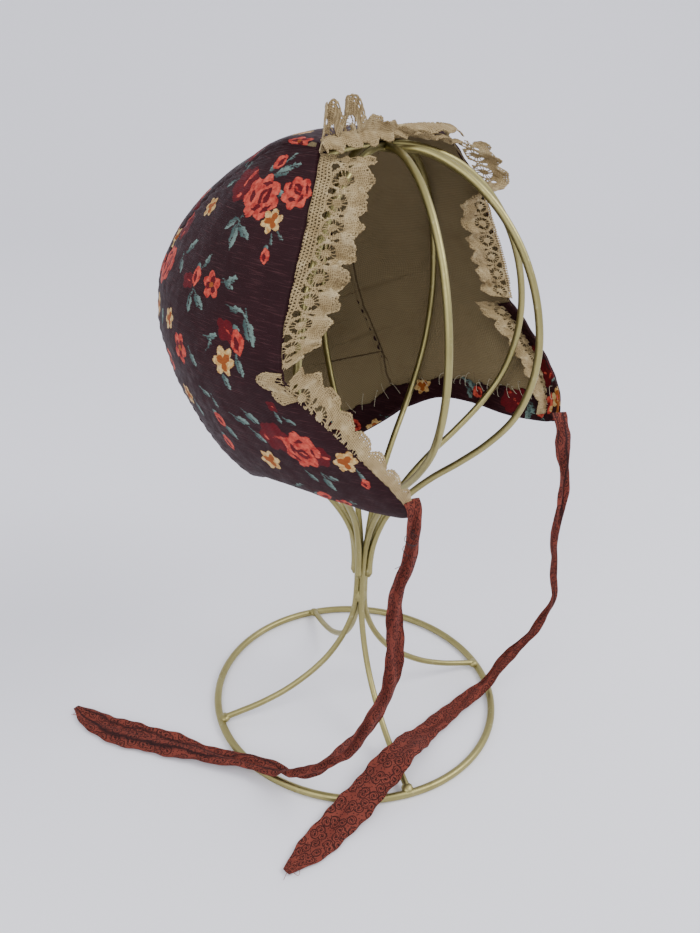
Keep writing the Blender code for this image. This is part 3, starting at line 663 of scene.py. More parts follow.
LEFT_CHEEK_FLARE, FLARE_START, FLARE_WIDTH, SWELL_EASE = 10.5, 0.22, 45.0, 0.7


def eased(rows, column, at):
    """A smooth, never overshooting reading of one column of a table."""
    keys, values = [row[0] for row in rows], [row[column] for row in rows]
    at = min(max(at, keys[0]), keys[-1])
    i = max(j for j in range(len(keys) - 1) if keys[j] <= at)
    slope = [(values[j + 1] - values[j]) / (keys[j + 1] - keys[j]) for j in range(len(keys) - 1)]

    def lean(j):
        if j in (0, len(keys) - 1):
            return slope[0] if j == 0 else slope[-1]
        product = slope[j - 1] * slope[j]
        return 2.0 * product / (slope[j - 1] + slope[j]) if product > 0.0 else 0.0

    span = keys[i + 1] - keys[i]
    t = (at - keys[i]) / span
    start = values[i] * (1.0 + 2.0 * t) + lean(i) * span * t
    end = values[i + 1] * (3.0 - 2.0 * t) - lean(i + 1) * span * (1.0 - t)
    return start * (1.0 - t) ** 2 + end * t**2


def with_lengths(points):
    line = np.array(points)
    reached = np.concatenate([[0.0], np.cumsum(np.linalg.norm(np.diff(line, axis=0), axis=1))])
    return [(length, *point) for length, point in zip(reached, line)]


LINES = {"rim": with_lengths(CHEEK_RIM), "face": with_lengths(FACE_EDGE), "hem": with_lengths(HEM)}


def along(name, share):
    rows = LINES[name]
    return np.array([eased(rows, column, share * rows[-1][0]) for column in (1, 2)])


def half_width(forward, height):
    width = eased(CAP_ROWS, 1, height)
    behind = -WIDEST_BEHIND - forward
    if behind <= 0.0:
        return width - FRONT_TAPER * behind * behind
    share = behind / (eased(CAP_ROWS, 2, height) - WIDEST_BEHIND)
    return width * (1.0 - share**BACK_ROUNDNESS) ** (1.0 / BACK_ROUNDNESS) if share < 1.0 else -share


def fan_point(angle, side):
    step = np.array([math.cos(math.radians(angle)), math.sin(math.radians(angle))])
    near, far = 20.0, 160.0
    for _ in range(26):
        middle = 0.5 * (near + far)
        place = EAR + middle * step
        inside = CAP_ROWS[0][0] <= place[1] <= CAP_ROWS[-1][0] and half_width(*place) > abs(side)
        near, far = (middle, far) if inside else (near, middle)
    return EAR + near * step


def row_angle(share, across):
    hem_angle = NAPE_ANGLE + (SEAM_ROWS[-1][0] - NAPE_ANGLE) * across * across
    return hem_angle + (SEAM_ROWS[0][0] - hem_angle) * share


def centre_point(across, share):
    side = across * eased(SEAM_ROWS, 1, row_angle(share, 1.0))
    return np.array([side, *fan_point(row_angle(share, across), side)])


def edge_point(share):
    if share <= RIM_BEND:
        return along("rim", share / RIM_BEND)
    return along("face", (share - RIM_BEND) / (1.0 - RIM_BEND))


def cheek_swell(mirror, at, length, rim_share):
    rise = math.sin(math.pi * min(max(rim_share, 0.0), 1.0)) ** SWELL_EASE
    rolled = max(0.0, 1.0 - at * length / ROLL_WIDTH) ** 2
    if mirror < 0.0:
        return -RIGHT_RIM_ROLL * rolled * rise
    nearness = max(0.0, 1.0 - at * length / FLARE_WIDTH)
    spread = FLARE_START + (1.0 - FLARE_START) * min(max(rim_share, 0.0), 1.0)
    flare = LEFT_CHEEK_FLARE * nearness**2 * (3.0 - 2.0 * nearness)
    return flare * math.sin(math.pi * spread) ** SWELL_EASE - LEFT_RIM_ROLL * rolled * rise


seam_known = {}


def seam_point(share):
    if share not in seam_known:
        seam_known[share] = centre_point(1.0, share)
    return seam_known[share]


def side_point(mirror, back, share):
    front, seam = edge_point(share), seam_point(share)[1:]
    at = back**COLUMN_BIAS
    line = front + (seam - front) * at
    cheek_share = share / RIM_BEND
    first, last = np.array(HEM[0]), np.array(HEM[-1])
    line = line + max(0.0, 1.0 - cheek_share) * (along("hem", at) - first - (last - first) * at)
    length = max(float(np.linalg.norm(seam - front)), 1.0)
    tip_share = ((1.0 - at) * max(0.0, 1.0 - cheek_share)) ** 2
    line[1] += tip_share * (LEFT_TIP_LIFT if mirror > 0.0 else -RIGHT_TIP_DROP)
    side = half_width(*line) + cheek_swell(mirror, at, length, cheek_share)
    return np.array([mirror * side, *line])


def in_frame(found):
    """Side, forward and height in millimetres to a place in the scene, in metres."""
    found = np.asarray(found, float)
    return np.stack([found[..., 0], -found[..., 1] - STAND_FORWARD, found[..., 2]], axis=-1) * MM


ROWS, SIDE_COLUMNS, CENTRE_COLUMNS = 48, 20, 20
share_rows = [i / ROWS for i in range(ROWS + 1)]
backs = [j / SIDE_COLUMNS for j in range(SIDE_COLUMNS + 1)]
acrosses = [2.0 * j / CENTRE_COLUMNS - 1.0 for j in range(CENTRE_COLUMNS + 1)]
coarse = {
    "centre": in_frame([[centre_point(across, s) for across in acrosses] for s in share_rows]),
    "right": in_frame([[side_point(-1.0, back, s) for back in backs] for s in share_rows]),
    "left": in_frame([[side_point(1.0, back, s) for back in backs] for s in share_rows]),
}
print("form worked out:", {name: found.shape for name, found in coarse.items()})

# %% [markdown]
# ## The printed cotton's finish
# The outside is a dark aubergine cotton with a slight glaze, ribbed by thicker threads across,
# and roller-printed with roses, small blossoms and leaves. The flowers are kept on the cloth's
# points as distances: how far inside a coral petal, a leaf and so on a point is. The finish
# cuts each distance at zero, so an edge stays crisp between two points, and a little noise
# makes it ragged, as a print on ribbed cloth is.

# %% Printed cotton
def print_finish():
    r = Recipe("rose_printed_cotton", 0.5)
    where = r.here()
    along_ribs = r.cloud(r.here((0.30, 0.30, 2.2)), 0.9, 2.0)
    ragged = r.sum("MULTIPLY", r.sum("SUBTRACT", along_ribs, 0.5), 2.0)

    def inside(name, soft=0.14):
        return r.spread(r.sum("ADD", r.noted(name), ragged), -soft, soft)

    ground = r.blend(r.cloud(where, 26.0, 3.0), dye(31, 11, 15), dye(43, 18, 22))
    # Slubs: thicker threads across, raised by the bump; their lighter, pinkish colour is painted sheen
    # on the glaze.
    slub_and_sheen = r.spread(r.cloud(r.here((0.08, 0.08, 1.9)), 1.0, 4.0), 0.55, 0.78, 0.0, 0.55)
    ground = r.blend(slub_and_sheen, ground, dye(92, 56, 58))
    wine = r.blend(r.cloud(where, 3.0), dye(58, 8, 15), dye(98, 18, 25))
    patchy = r.spread(r.cloud(where, 2.6, 4.0), 0.35, 0.65)
    coral = r.blend(patchy, dye(140, 36, 32), dye(196, 86, 68))
    mottled = r.spread(r.cloud(where, 2.0), 0.35, 0.65)
    cream = r.blend(mottled, dye(166, 120, 62), dye(198, 174, 122))
    leaf = r.blend(r.noted("shade"), dye(34, 54, 54), dye(116, 138, 130))
    leaf = r.blend(r.spread(r.cloud(where, 1.4, 3.0), 0.5, 0.72, 0.0, 0.7), leaf, dye(34, 44, 46))
    colour = r.blend(inside("leaf"), ground, leaf)
    colour = r.blend(inside("wine"), colour, wine)
    colour = r.blend(inside("coral"), colour, coral)
    colour = r.blend(inside("cream"), colour, cream)
    colour = r.blend(inside("heart"), colour, dye(134, 70, 28))
    skipped = r.spread(r.cloud(r.here((0.25, 0.25, 2.4)), 0.9, 3.0), 0.57, 0.76, 0.0, 0.55)
    colour = r.blend(skipped, colour, dye(44, 20, 25))
    height = r.step("ShaderNodeSeparateXYZ", Vector=where).outputs[2]
    wobble = r.sum("MULTIPLY", r.cloud(where, 9.0), 5.0)
    ribs = r.sum("SINE", r.sum("ADD", r.sum("MULTIPLY", height, math.tau / 0.85), wobble))
    ribbed = r.bumps(r.spread(ribs, -1.0, 1.0), 0.40, 0.00018)
    rough = r.spread(r.cloud(where, 5.0, 4.0), 0.3, 0.7, 0.50, 0.70)
    r.shader.inputs["Specular IOR Level"].default_value = 0.11
    return r.done(colour, r.bumps(slub_and_sheen, 0.4, 0.00014, ribbed), rough)


printed_cotton = print_finish()
print("finish:", printed_cotton.name)

# %% [markdown]
# ## Drawing the flowers
# Each kind of flower is a small formula: petals are a circle whose radius waves as the angle
# turns, a leaf is a pointed oval with a vein left out along its middle, and a rose is a coral
# flower with a wine-red heart and dark lines between its petals. Every formula takes places in
# millimetres from the flower's middle, so one flower can be laid anywhere at any turn.

# %% Flower formulas
def petals(x, y, radius, count, depth, turn=0.0):
    angle = np.arctan2(y, x)
    wave = np.abs(np.cos(0.5 * count * angle + turn))
    return radius * (1.0 - depth + depth * wave) - np.hypot(x, y)


def pointed_oval(x, y, length, width):
    share = np.clip(1.0 - np.abs(2.0 * x / length) ** 1.7, 0.0, 1.0)
    return np.where(np.abs(x) < 0.5 * length, 0.5 * width * share - np.abs(y), -9.0)


def stroke(x, y, size, at_x, at_y, turn, length, width):
    """One brush stroke: a pointed oval laid off the middle at its own turn, in shares of size."""
    turn = math.radians(turn)
    x, y = x - at_x * size, y - at_y * size
    across = y * math.cos(turn) - x * math.sin(turn)
    return pointed_oval(x * math.cos(turn) + y * math.sin(turn), across, length * size, width * size)


def strokes(x, y, size, rows):
    return np.maximum.reduce([stroke(x, y, size, *row) for row in rows])


def rose(x, y, size):
    edge = petals(x, y, 0.54 * size, 7, 0.22, 0.4)
    dark = [
        (0.10, -0.06, 20, 0.46, 0.30), (-0.18, 0.17, 62, 0.34, 0.13), (-0.20, -0.16, -30, 0.36, 0.12),
        (0.26, 0.20, -35, 0.34, 0.11), (0.02, -0.36, 5, 0.40, 0.10),
    ]
    glints = [(0.12, -0.02, 25, 0.24, 0.07), (0.02, -0.10, 60, 0.14, 0.05)]
    coral = np.minimum(edge, -strokes(x, y, size, dark))
    return {"wine": edge + 0.2, "coral": np.maximum(coral, strokes(x, y, size, glints))}


def dark_rose(x, y, size):
    edge = petals(x, y, 0.54 * size, 6, 0.20, 0.9)
    lit = [(0.26, 0.18, 25, 0.42, 0.13), (-0.20, -0.24, -20, 0.32, 0.10), (0.02, 0.02, 50, 0.24, 0.07)]
    return {"wine": edge, "coral": strokes(x, y, size, lit)}


def blossom(x, y, size):
    edge = petals(x, y, 0.54 * size, 6, 0.40, 0.2)
    heart = np.maximum(0.13 * size - np.hypot(x, y), petals(x, y, 0.36 * size, 3, 0.85, 0.5))
    return {"cream": edge, "heart": heart}


def coral_blossom(x, y, size):
    edge = petals(x, 1.35 * y, 0.52 * size, 5, 0.38)
    dark = petals(x, 1.35 * y, 0.34 * size, 3, 0.85)
    heart = 0.10 * size - np.hypot(x, y)
    return {"coral": np.minimum(edge, -dark), "wine": edge + 0.1, "heart": heart}


def bud(x, y, size):
    body = pointed_oval(x, y, size, 0.66 * size)
    slit = stroke(x, y, size, 0.04, -0.06, 8, 0.62, 0.26)
    calyx = stroke(x, y, size, -0.42, 0.02, 0, 0.5, 0.34)
    return {"wine": body + 0.2, "coral": np.minimum(body, -slit), "leaf": calyx}


def leaf(x, y, size):
    blade = pointed_oval(x, y - 0.06 * size * np.sin(3.0 * x / size), size, 0.40 * size)
    blade = blade - 0.7 * np.abs(np.sin(9.0 * x / size + np.sign(y)))
    vein = 0.30 - np.abs(y + 0.02 * size)
    stalk = np.where((x < 0.0) & (x > -0.72 * size), 0.30 - np.abs(y), -9.0)
    return {"leaf": np.maximum(np.minimum(blade, -vein), stalk)}


def stem(x, y, size):
    bent = np.abs(y - 0.1 * size * np.cos(3.0 * x / size))
    return {"leaf": np.where(np.abs(x) < 0.5 * size, 0.4 - bent, -9.0)}


def wine_spot(x, y, size):
    glint = stroke(x, y, size, 0.05, 0.06, 15, 0.45, 0.08)
    return {"wine": petals(x, 1.5 * y, 0.52 * size, 4, 0.3), "coral": glint - 0.1}


def speck(x, y, size):
    return {"leaf": petals(x, y, 0.42 * size, 5, 0.4)}


FLOWERS = {
    "rose": rose, "dark_rose": dark_rose, "blossom": blossom, "coral_blossom": coral_blossom,
    "bud": bud, "leaf": leaf, "stem": stem, "wine_spot": wine_spot, "speck": speck,
}
INKS = ("leaf", "wine", "coral", "cream", "heart")
print("flowers:", ", ".join(FLOWERS))

# %% [markdown]
# ## Where the flowers lie
# The repeat was charted from the near side of the cap: what the flower is, how far
# forward and how high its middle lies, which way it points and how long it is. The same chart
# is laid on the other panels, shifted, because a panel is cut wherever the cloth allows.

# %% Flower chart and its painting
CHART = [
    ("dark_rose", -33.0, 339.0, 38, 19.0), ("rose", -17.5, 335.9, 51, 22.0),
    ("rose", 2.0, 340.0, 110, 15.5), ("blossom", -5.1, 327.5, 88, 11.5),
    ("leaf", -30.4, 322.6, -142, 12.0), ("leaf", -25.5, 317.6, -90, 15.5),
    ("leaf", -19.6, 320.5, -42, 13.0), ("leaf", -39.5, 346.5, 93, 9.0),
    ("leaf", -47.4, 337.0, -153, 10.0), ("blossom", -56.9, 324.8, 70, 10.5),
    ("bud", -1.5, 313.2, -74, 8.5), ("leaf", -1.0, 319.2, -75, 6.0), ("leaf", 3.5, 321.7, -44, 6.5),
    ("speck", -6.6, 338.6, -38, 5.0), ("leaf", -58.3, 306.6, 38, 13.5),
    ("leaf", -63.0, 296.8, -59, 12.0), ("leaf", -37.9, 304.5, 60, 10.0),
    ("bud", -43.0, 296.7, -74, 11.0), ("wine_spot", -49.6, 293.0, -27, 12.0),
    ("coral_blossom", -29.1, 295.7, -45, 15.0), ("leaf", -16.6, 300.3, 24, 11.0),
    ("leaf", -16.8, 297.6, -27, 9.0), ("leaf", -42.4, 284.6, -89, 12.0),
    ("leaf", -35.3, 286.6, -43, 13.0), ("bud", -15.2, 350.8, 58, 10.0),
    ("leaf", -10.7, 347.0, 24, 13.0), ("leaf", -8.6, 353.6, 58, 7.0), ("leaf", -5.0, 350.4, 15, 9.0),
    ("blossom", -62.2, 271.3, 82, 11.0), ("leaf", -8.0, 289.1, -7, 10.5),
    ("leaf", 3.3, 281.6, -62, 17.0), ("stem", -2.4, 287.1, -33, 11.0),
    ("wine_spot", -11.4, 279.0, -34, 14.0), ("bud", -2.6, 275.4, -61, 13.0),
    ("leaf", -19.9, 274.3, 10, 10.0), ("leaf", -20.6, 270.8, 61, 8.0),
    ("blossom", -9.8, 264.8, -51, 13.5), ("leaf", 0.8, 264.8, -62, 12.5),
    ("leaf", -8.1, 255.0, -63, 11.5), ("coral_blossom", -47.2, 260.8, -70, 16.0),
    ("leaf", -34.1, 258.8, -50, 11.0), ("coral_blossom", -66.0, 247.0, -94, 13.0),
    ("leaf", -26.4, 243.0, -25, 9.0), ("leaf", -19.4, 239.6, -60, 8.0),
    ("bud", -19.7, 230.0, -48, 10.0), ("bud", -20.6, 215.0, -69, 11.0),
    ("leaf", -13.6, 224.7, -58, 12.5), ("leaf", -2.2, 235.4, -18, 12.5),
    ("leaf", 5.6, 239.4, -30, 12.0), ("leaf", 7.7, 228.7, -40, 11.0),
    ("dark_rose", 17.6, 232.6, -33, 17.0), ("rose", 32.6, 229.6, -40, 20.0),
    ("dark_rose", 42.4, 229.0, -32, 12.0), ("blossom", 9.6, 215.4, -41, 12.5),
    ("blossom", 55.0, 229.4, -42, 11.5), ("leaf", 22.6, 244.6, -58, 8.0),
    ("leaf", 29.4, 244.4, -20, 8.0), ("wine_spot", 19.6, 250.0, -29, 7.0),
    ("leaf", 34.7, 213.5, -45, 9.0), ("leaf", 43.5, 212.4, -66, 12.0),
    ("leaf", 46.4, 216.8, -17, 9.0), ("leaf", 51.8, 202.4, -17, 8.0), ("leaf", 61.6, 223.0, -52, 7.0),
    ("bud", 62.9, 218.7, -64, 7.0), ("leaf", 22.0, 203.0, 30, 9.0), ("bud", 36.0, 201.5, 10, 10.0),
    ("coral_blossom", 46.0, 199.6, 12, 10.0), ("leaf", -40.0, 228.0, -60, 11.0),
    ("blossom", -50.0, 233.0, 20, 11.0), ("leaf", -75.0, 268.0, 80, 12.0),
    ("rose", -84.0, 292.0, 70, 20.0), ("dark_rose", -78.0, 312.0, 60, 16.0),
    ("leaf", -92.0, 306.0, 100, 13.0), ("blossom", -88.0, 270.0, 40, 12.0),
    ("leaf", -70.0, 330.0, 50, 12.0),
]


def drawn(mesh, flat, way_u, way_v, shifts):
    """Lays the chart on a mesh: flat is each point's place on the cloth, in millimetres."""
    points, faces_out = places_of(mesh) / MM, normals_of(mesh)
    inked = {name: np.full(len(points), -3.0) for name in INKS}
    shade = np.full(len(points), 0.4)
    laid = 0
    for across, up in shifts:
        for kind, u, v, turn, size in CHART:
            gap = np.hypot(flat[:, 0] - u - across, flat[:, 1] - v - up)
            nearest = int(np.argmin(gap))
            if gap[nearest] > 0.5 * size:
                continue
            out = faces_out[nearest]
            lean = math.radians(turn)
            way = way_u[nearest] * math.cos(lean) + way_v[nearest] * math.sin(lean)
            way = unit(way - out * (way @ out))
            sideways = np.cross(out, way)
            middle = points[nearest] + way_u[nearest] * (u + across - flat[nearest, 0])
            middle = middle + way_v[nearest] * (v + up - flat[nearest, 1])
            near = np.flatnonzero(np.linalg.norm(points - middle, axis=1) < size)
            away = points[near] - middle
            strayed = np.stack([soft_noise(away, 6.0, seed) for seed in (31, 32, 33)], axis=1)
            away = away + 0.045 * size * strayed
            x, y = away @ way, away @ sideways
            cover = FLOWERS[kind](x, y, size)
            for ink, depth in cover.items():
                if ink == "leaf":
                    lit = np.clip(0.5 + 2.2 * y / size + 0.3 * x / size, 0.0, 1.0)
                    shade[near] = np.where(depth > inked[ink][near], lit, shade[near])
                inked[ink][near] = np.maximum(inked[ink][near], depth)
            if kind in ("rose", "dark_rose", "blossom", "coral_blossom"):
                top = np.maximum.reduce(list(cover.values()))
                inked["leaf"][near] = np.minimum(inked["leaf"][near], -top)
            laid += 1
    for name, depth in inked.items():
        note(mesh, name, depth)
    note(mesh, "shade", shade)
    return laid


def ways_along(places, row, column):
    """Which way the cloth's width and its length run, at each point."""
    return [unit(np.gradient(places, axis=axis))[row, column] for axis in (1, 0)]


print("chart:", len(CHART), "motifs")

# %% [markdown]
# ## The three printed panels
# A panel's grid is moved to the form, then worked over as a worn cap shows it: the cloth dips
# along the hem and the front, where it turns over the edge, it is drawn in and puckers along
# the seams, and it waves a little everywhere, as stiff cotton does when its padding is gone.

# %% Panels
PANEL_CLOTH = (printed_cotton, "printed_cotton", 1.1)


def lengths(places, axis):
    steps = np.linalg.norm(np.diff(places, axis=axis), axis=2)
    reached = np.cumsum(steps, axis=axis)
    return np.insert(reached, 0, 0.0, axis=axis) / MM


def outward(mesh):
    """Turns a sheet's faces out from the middle of the cap."""
    middle = in_frame((0.0, EAR[0], EAR[1]))
    if np.sum(normals_of(mesh) * (places_of(mesh) - middle)) < 0.0:
        mesh.flip_normals()
        mesh.update()


def sink(mesh, depth):
    """Moves each point inward by its own depth, in millimetres."""
    deep = np.asarray(depth, float).reshape(-1, 1)
    mesh.vertices.foreach_set("co", (places_of(mesh) - normals_of(mesh) * deep * MM).ravel())
    mesh.update()


def flat_area(mesh):
    """The cloth's own area in square metres, before it gets its wall."""
    areas = np.empty(len(mesh.polygons))
    mesh.polygons.foreach_get("area", areas)
    return float(areas.sum())


def lay_cloth(mesh, cloth, node):
    """Makes a sheet a piece and hides the solid that it replaces, if there is one; its flat area is
    worked out but not used.
    """
    area = flat_area(mesh)
    piece = piece_from(mesh, *cloth)
    if node:
        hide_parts(node)


def panel_relief(points, row_len, from_front, to_seam, from_hem, to_top, seed):
    """How deep each point lies below the smooth form, in millimetres."""
    edge = np.minimum(from_front, np.minimum(from_hem, to_top))
    turned = 2.0 * np.clip(1.0 - edge / 2.2, 0.0, 1.0) ** 2
    drawn_in = 0.9 * np.exp(-((to_seam / 1.5) ** 2))
    ripple = np.sin(row_len * math.tau / 6.8 + 1.6 * np.sin(row_len / 17.0 + seed))
    puckers = 0.40 * ripple * np.exp(-to_seam / 6.5)
    tucks = 0.30 * np.sin(row_len / 2.1 + seed) * np.exp(-edge / 5.0)
    waves = 0.55 * soft_noise(points, 52.0, seed) + 0.16 * soft_noise(points, 15.0, seed + 1)
    return turned + drawn_in + puckers + tucks + waves


def make_panel(name, coarse_places, rows, columns, seed, two_seams):
    places = finer_sheet(coarse_places, rows, columns)
    mesh, row, column = moved_grid(name, places)
    outward(mesh)
    across, up = lengths(places, 1), lengths(places, 0)
    from_front, to_seam = across, across[:, -1:] - across
    if two_seams:
        from_front, to_seam = np.full_like(across, 99.0), np.minimum(across, to_seam)
    from_hem, to_top = up, up[-1:, :] - up
    each = [found[row, column] for found in (up, from_front, to_seam, from_hem, to_top)]
    sink(mesh, panel_relief(places_of(mesh) / MM, *each, seed))
    return mesh, places, row, column


for name, node, rows, columns, seed, shift in (
    ("near_side_cloth", "right_side_panel", 226, 176, 1, (0.0, 0.0)),
    ("far_side_cloth", "left_side_panel", 180, 140, 3, (-24.0, -11.0)),
):
    side = node.split("_")[0]
    mesh, places = make_panel(name, coarse[side], rows, columns, seed, False)[:2]
    points = places_of(mesh) / MM
    flat = np.stack([-points[:, 1] - STAND_FORWARD, points[:, 2]], axis=1)
    way_u = np.tile([0.0, -1.0, 0.0], (len(points), 1))
    way_v = np.tile([0.0, 0.0, 1.0], (len(points), 1))
    laid = drawn(mesh, flat, way_u, way_v, [shift])
    lay_cloth(mesh, PANEL_CLOTH, node)
    print(name, len(mesh.polygons), "faces,", laid, "flowers")
mesh, places, row, column = make_panel("crown_and_back_cloth", coarse["centre"], 270, 122, 5, True)
across, up = lengths(places, 1), lengths(places, 0)
MIDDLE = slice(61, 62)
flat = np.stack([(across - across[:, MIDDLE])[row, column], up[:, MIDDLE][row, 0]], axis=1)
shifts = [(12.0, -190.0), (-8.0, -62.0), (18.0, 66.0)]
laid = drawn(mesh, flat, *ways_along(places, row, column), shifts)
lay_cloth(mesh, PANEL_CLOTH, "centre_panel")
print("crown_and_back_cloth", len(mesh.polygons), "faces,", laid, "flowers")

# %% [markdown]
# ## The lining
# The lining is a plain olive-khaki linen. Seen through the face opening it shows its weave, a
# seam that steps down towards the neck, a patch line and a few creases. The lines are kept as
# distances on the points, and the finish turns the seam and the patch line into dark, slightly
# raised seams, and dents the creases and darkens them with painted shade.

# %% Linen
LINING_SEAM = [
    (62.6, -75.5, 311.0), (75.4, -84.9, 276.3), (78.5, -81.2, 256.6), (79.0, -74.5, 241.0),
    (79.3, -68.0, 232.1), (78.6, -61.6, 223.4), (77.1, -53.6, 213.2), (73.1, -47.0, 202.6),
    (69.6, -37.5, 193.5), (66.1, -32.6, 188.9),
]
PATCH_LINE = [
    (52.0, -79.6, 206.4), (63.4, -70.7, 209.1), (70.4, -62.8, 211.7), (77.0, -54.8, 214.4),
    (77.4, -52.0, 210.6),
]
CREASES = [
    [(67.2, -74.6, 219.2), (74.0, -68.0, 223.4), (79.3, -62.4, 225.8)],
    [(60.0, -85.0, 246.0), (76.0, -74.0, 252.0), (88.0, -52.0, 262.0)],
]
LINING_DEPTH, CLEAR_OF_PRINT = 1.38, 1.35


def line_distance(points, out, line):
    """Signed distance in millimetres from each point to a line of places on the cloth."""
    line = in_frame(line) / MM
    best, signed = np.full(len(points), 99.0), np.full(len(points), 99.0)
    for start, end in zip(line, line[1:]):
        t = np.clip((points - start) @ (end - start) / ((end - start) @ (end - start)), 0.0, 1.0)
        away = points - start - t[:, None] * (end - start)
        away = away - out * np.sum(away * out, axis=1, keepdims=True)
        far = np.linalg.norm(away, axis=1)
        side = np.sign(np.sum(np.cross(out, end - start) * away, axis=1))
        signed = np.where(far < best, far * side, signed)
        best = np.minimum(best, far)
    return signed


def linen_finish():
    r = Recipe("olive_linen", 0.9)
    where = r.here()
    laid = r.noted("laid", vector=True)
    tone = r.blend(r.cloud(where, 30.0, 4.0), dye(118, 104, 76), dye(138, 123, 92))
    stain = r.spread(r.cloud(where, 17.0, 5.0), 0.58, 0.75, 0.0, 0.30)
    tone = r.blend(stain, tone, dye(98, 82, 56))
    warp = r.step("ShaderNodeTexWave", Vector=laid, Scale=0.25, Distortion=1.4)
    weft = r.step("ShaderNodeTexWave", Vector=laid, Scale=0.25, Distortion=1.4)
    weft.bands_direction = "Y"
    for wave in (warp, weft):
        wave.inputs["Detail"].default_value = 3.0
    thick = r.spread(r.cloud(r.sum3("MULTIPLY", laid, (0.12, 1.6, 1.0)), 1.0), 0.5, 0.75, 0.0, 0.22)
    tone = r.blend(thick, tone, dye(146, 132, 100))
    weave = r.sum("MULTIPLY", r.sum("ADD", warp.outputs["Fac"], weft.outputs["Fac"]), 0.5)
    tone = r.blend(r.spread(weave, 0.2, 0.8, 0.38, 0.0), tone, dye(74, 61, 40))
    frayed = r.sum("MULTIPLY", r.sum("SUBTRACT", r.cloud(where, 1.6), 0.5), 1.3)
    seam = r.sum("ABSOLUTE", r.sum("ADD", r.noted("seam"), frayed))
    patch = r.sum("ABSOLUTE", r.sum("ADD", r.noted("patch"), frayed))
    seam, patch = r.spread(seam, 0.25, 0.75, 0.70, 0.0), r.spread(patch, 0.15, 0.6, 0.85, 0.0)
    sewn = r.sum("MAXIMUM", seam, patch)
    tone = r.blend(sewn, tone, dye(66, 52, 34))
    # Painted shade: the creases are darkened with a fixed colour, and dented by the bump below.
    crease_dent_and_shade = r.spread(r.sum("ABSOLUTE", r.noted("crease_dent_and_shade")), 0.3, 2.2, 0.35, 0.0)
    tone = r.blend(crease_dent_and_shade, tone, dye(92, 78, 54))
    beside_seam = r.sum("ABSOLUTE", r.sum("SUBTRACT", r.noted("seam"), 1.8))
    ridge = r.spread(beside_seam, 0.3, 1.6, 1.0, 0.0)
    raised = r.bumps(r.sum("SUBTRACT", ridge, r.sum("ADD", crease_dent_and_shade, sewn)), 0.8, 0.0007)
    r.shader.inputs["Specular IOR Level"].default_value = 0.1
    return r.done(tone, r.bumps(weave, 0.6, 0.00018, raised))


olive_linen = linen_finish()
far_side = coarse["left"][:, ::-1]
whole = np.concatenate([coarse["right"], coarse["centre"][:, 1:], far_side[:, 1:]], axis=1)
places = finer_sheet(whole, 170, 261)[1:, 1:-1]
mesh, row, column = moved_grid("linen_lining", places)
outward(mesh)
depth = LINING_DEPTH + 0.35 * soft_noise(places_of(mesh) / MM, 34.0, 21)
sink(mesh, np.maximum(depth, CLEAR_OF_PRINT))
points = places_of(mesh) / MM
across, up = lengths(places, 1)[row, column], lengths(places, 0)[row, column]
note(mesh, "laid", np.stack([across, up, 0.0 * row], axis=1))
out = normals_of(mesh)
note(mesh, "seam", line_distance(points, out, LINING_SEAM))
note(mesh, "patch", line_distance(points, out, PATCH_LINE))
creased = np.stack([line_distance(points, out, line) for line in CREASES])
note(mesh, "crease_dent_and_shade", creased[np.argmin(np.abs(creased), axis=0), np.arange(len(points))])
lay_cloth(mesh, (olive_linen, "olive_linen", 0.7), "lining")
print("lining:", len(mesh.polygons), "faces")

# %% [markdown]
# ## The neck facing
# Round the neck the lining is covered by a strip of the print, cut with a raw edge. The strip's
# upper edge wanders by a millimetre or two. A grid with few rows is read out of a finer one,
# and how far up each of its columns goes makes that edge.

# %% Neck facing
FACING_ROWS, STRIP_DEPTH = 12, 2.55
STRIP_CLOTH = (printed_cotton, "printed_cotton", 0.5)
STRIP_ROWS, STRIP_COLUMNS, EDGE_ROW = 113, 601, 48.0
strip = finer_sheet(whole[:8], STRIP_ROWS, STRIP_COLUMNS)
dice = np.random.default_rng(12)
column_at = np.arange(STRIP_COLUMNS)
jag = 1.0 + 0.05 * np.sin(column_at / 9.0) + 0.06 * np.sin(column_at / 3.7 + 1.0)
jag = jag + np.repeat(dice.uniform(-0.05, 0.05, STRIP_COLUMNS // 4 + 1), 4)[:STRIP_COLUMNS]
top_row = np.clip(EDGE_ROW * jag, 20.0, 60.0)
rows_at = 1.0 + (top_row[None, :] - 1.0) * np.linspace(0.0, 1.0, FACING_ROWS + 1)[:, None]
low = rows_at.astype(int)
part_way = (rows_at - low)[..., None]
places = strip[low, column_at] * (1.0 - part_way) + strip[low + 1, column_at] * part_way
mesh, row, column = moved_grid("neck_strip", places)
outward(mesh)
sink(mesh, STRIP_DEPTH + 0.2 * np.sin(column / 5.0) * (row / FACING_ROWS))
across, up = lengths(places, 1)[row, column], lengths(places, 0)[row, column]
flat = np.stack([across, 206.0 + up], axis=1)
shifts = [(20.0, 0.0), (150.0, -20.0), (265.0, -62.0), (392.0, -16.0)]
laid = drawn(mesh, flat, *ways_along(places, row, column), shifts)
lay_cloth(mesh, STRIP_CLOTH, "neck_facing")
print("neck strip:", len(mesh.polygons), "faces,", laid, "flowers")

# %% [markdown]
# ## The turned edge of the far cheek
# The far cheek shows more of the print, because its rim is turned over to the inside and the
# lace is sewn on past it. This is a narrow grid along the rim, on the inside of the lining.

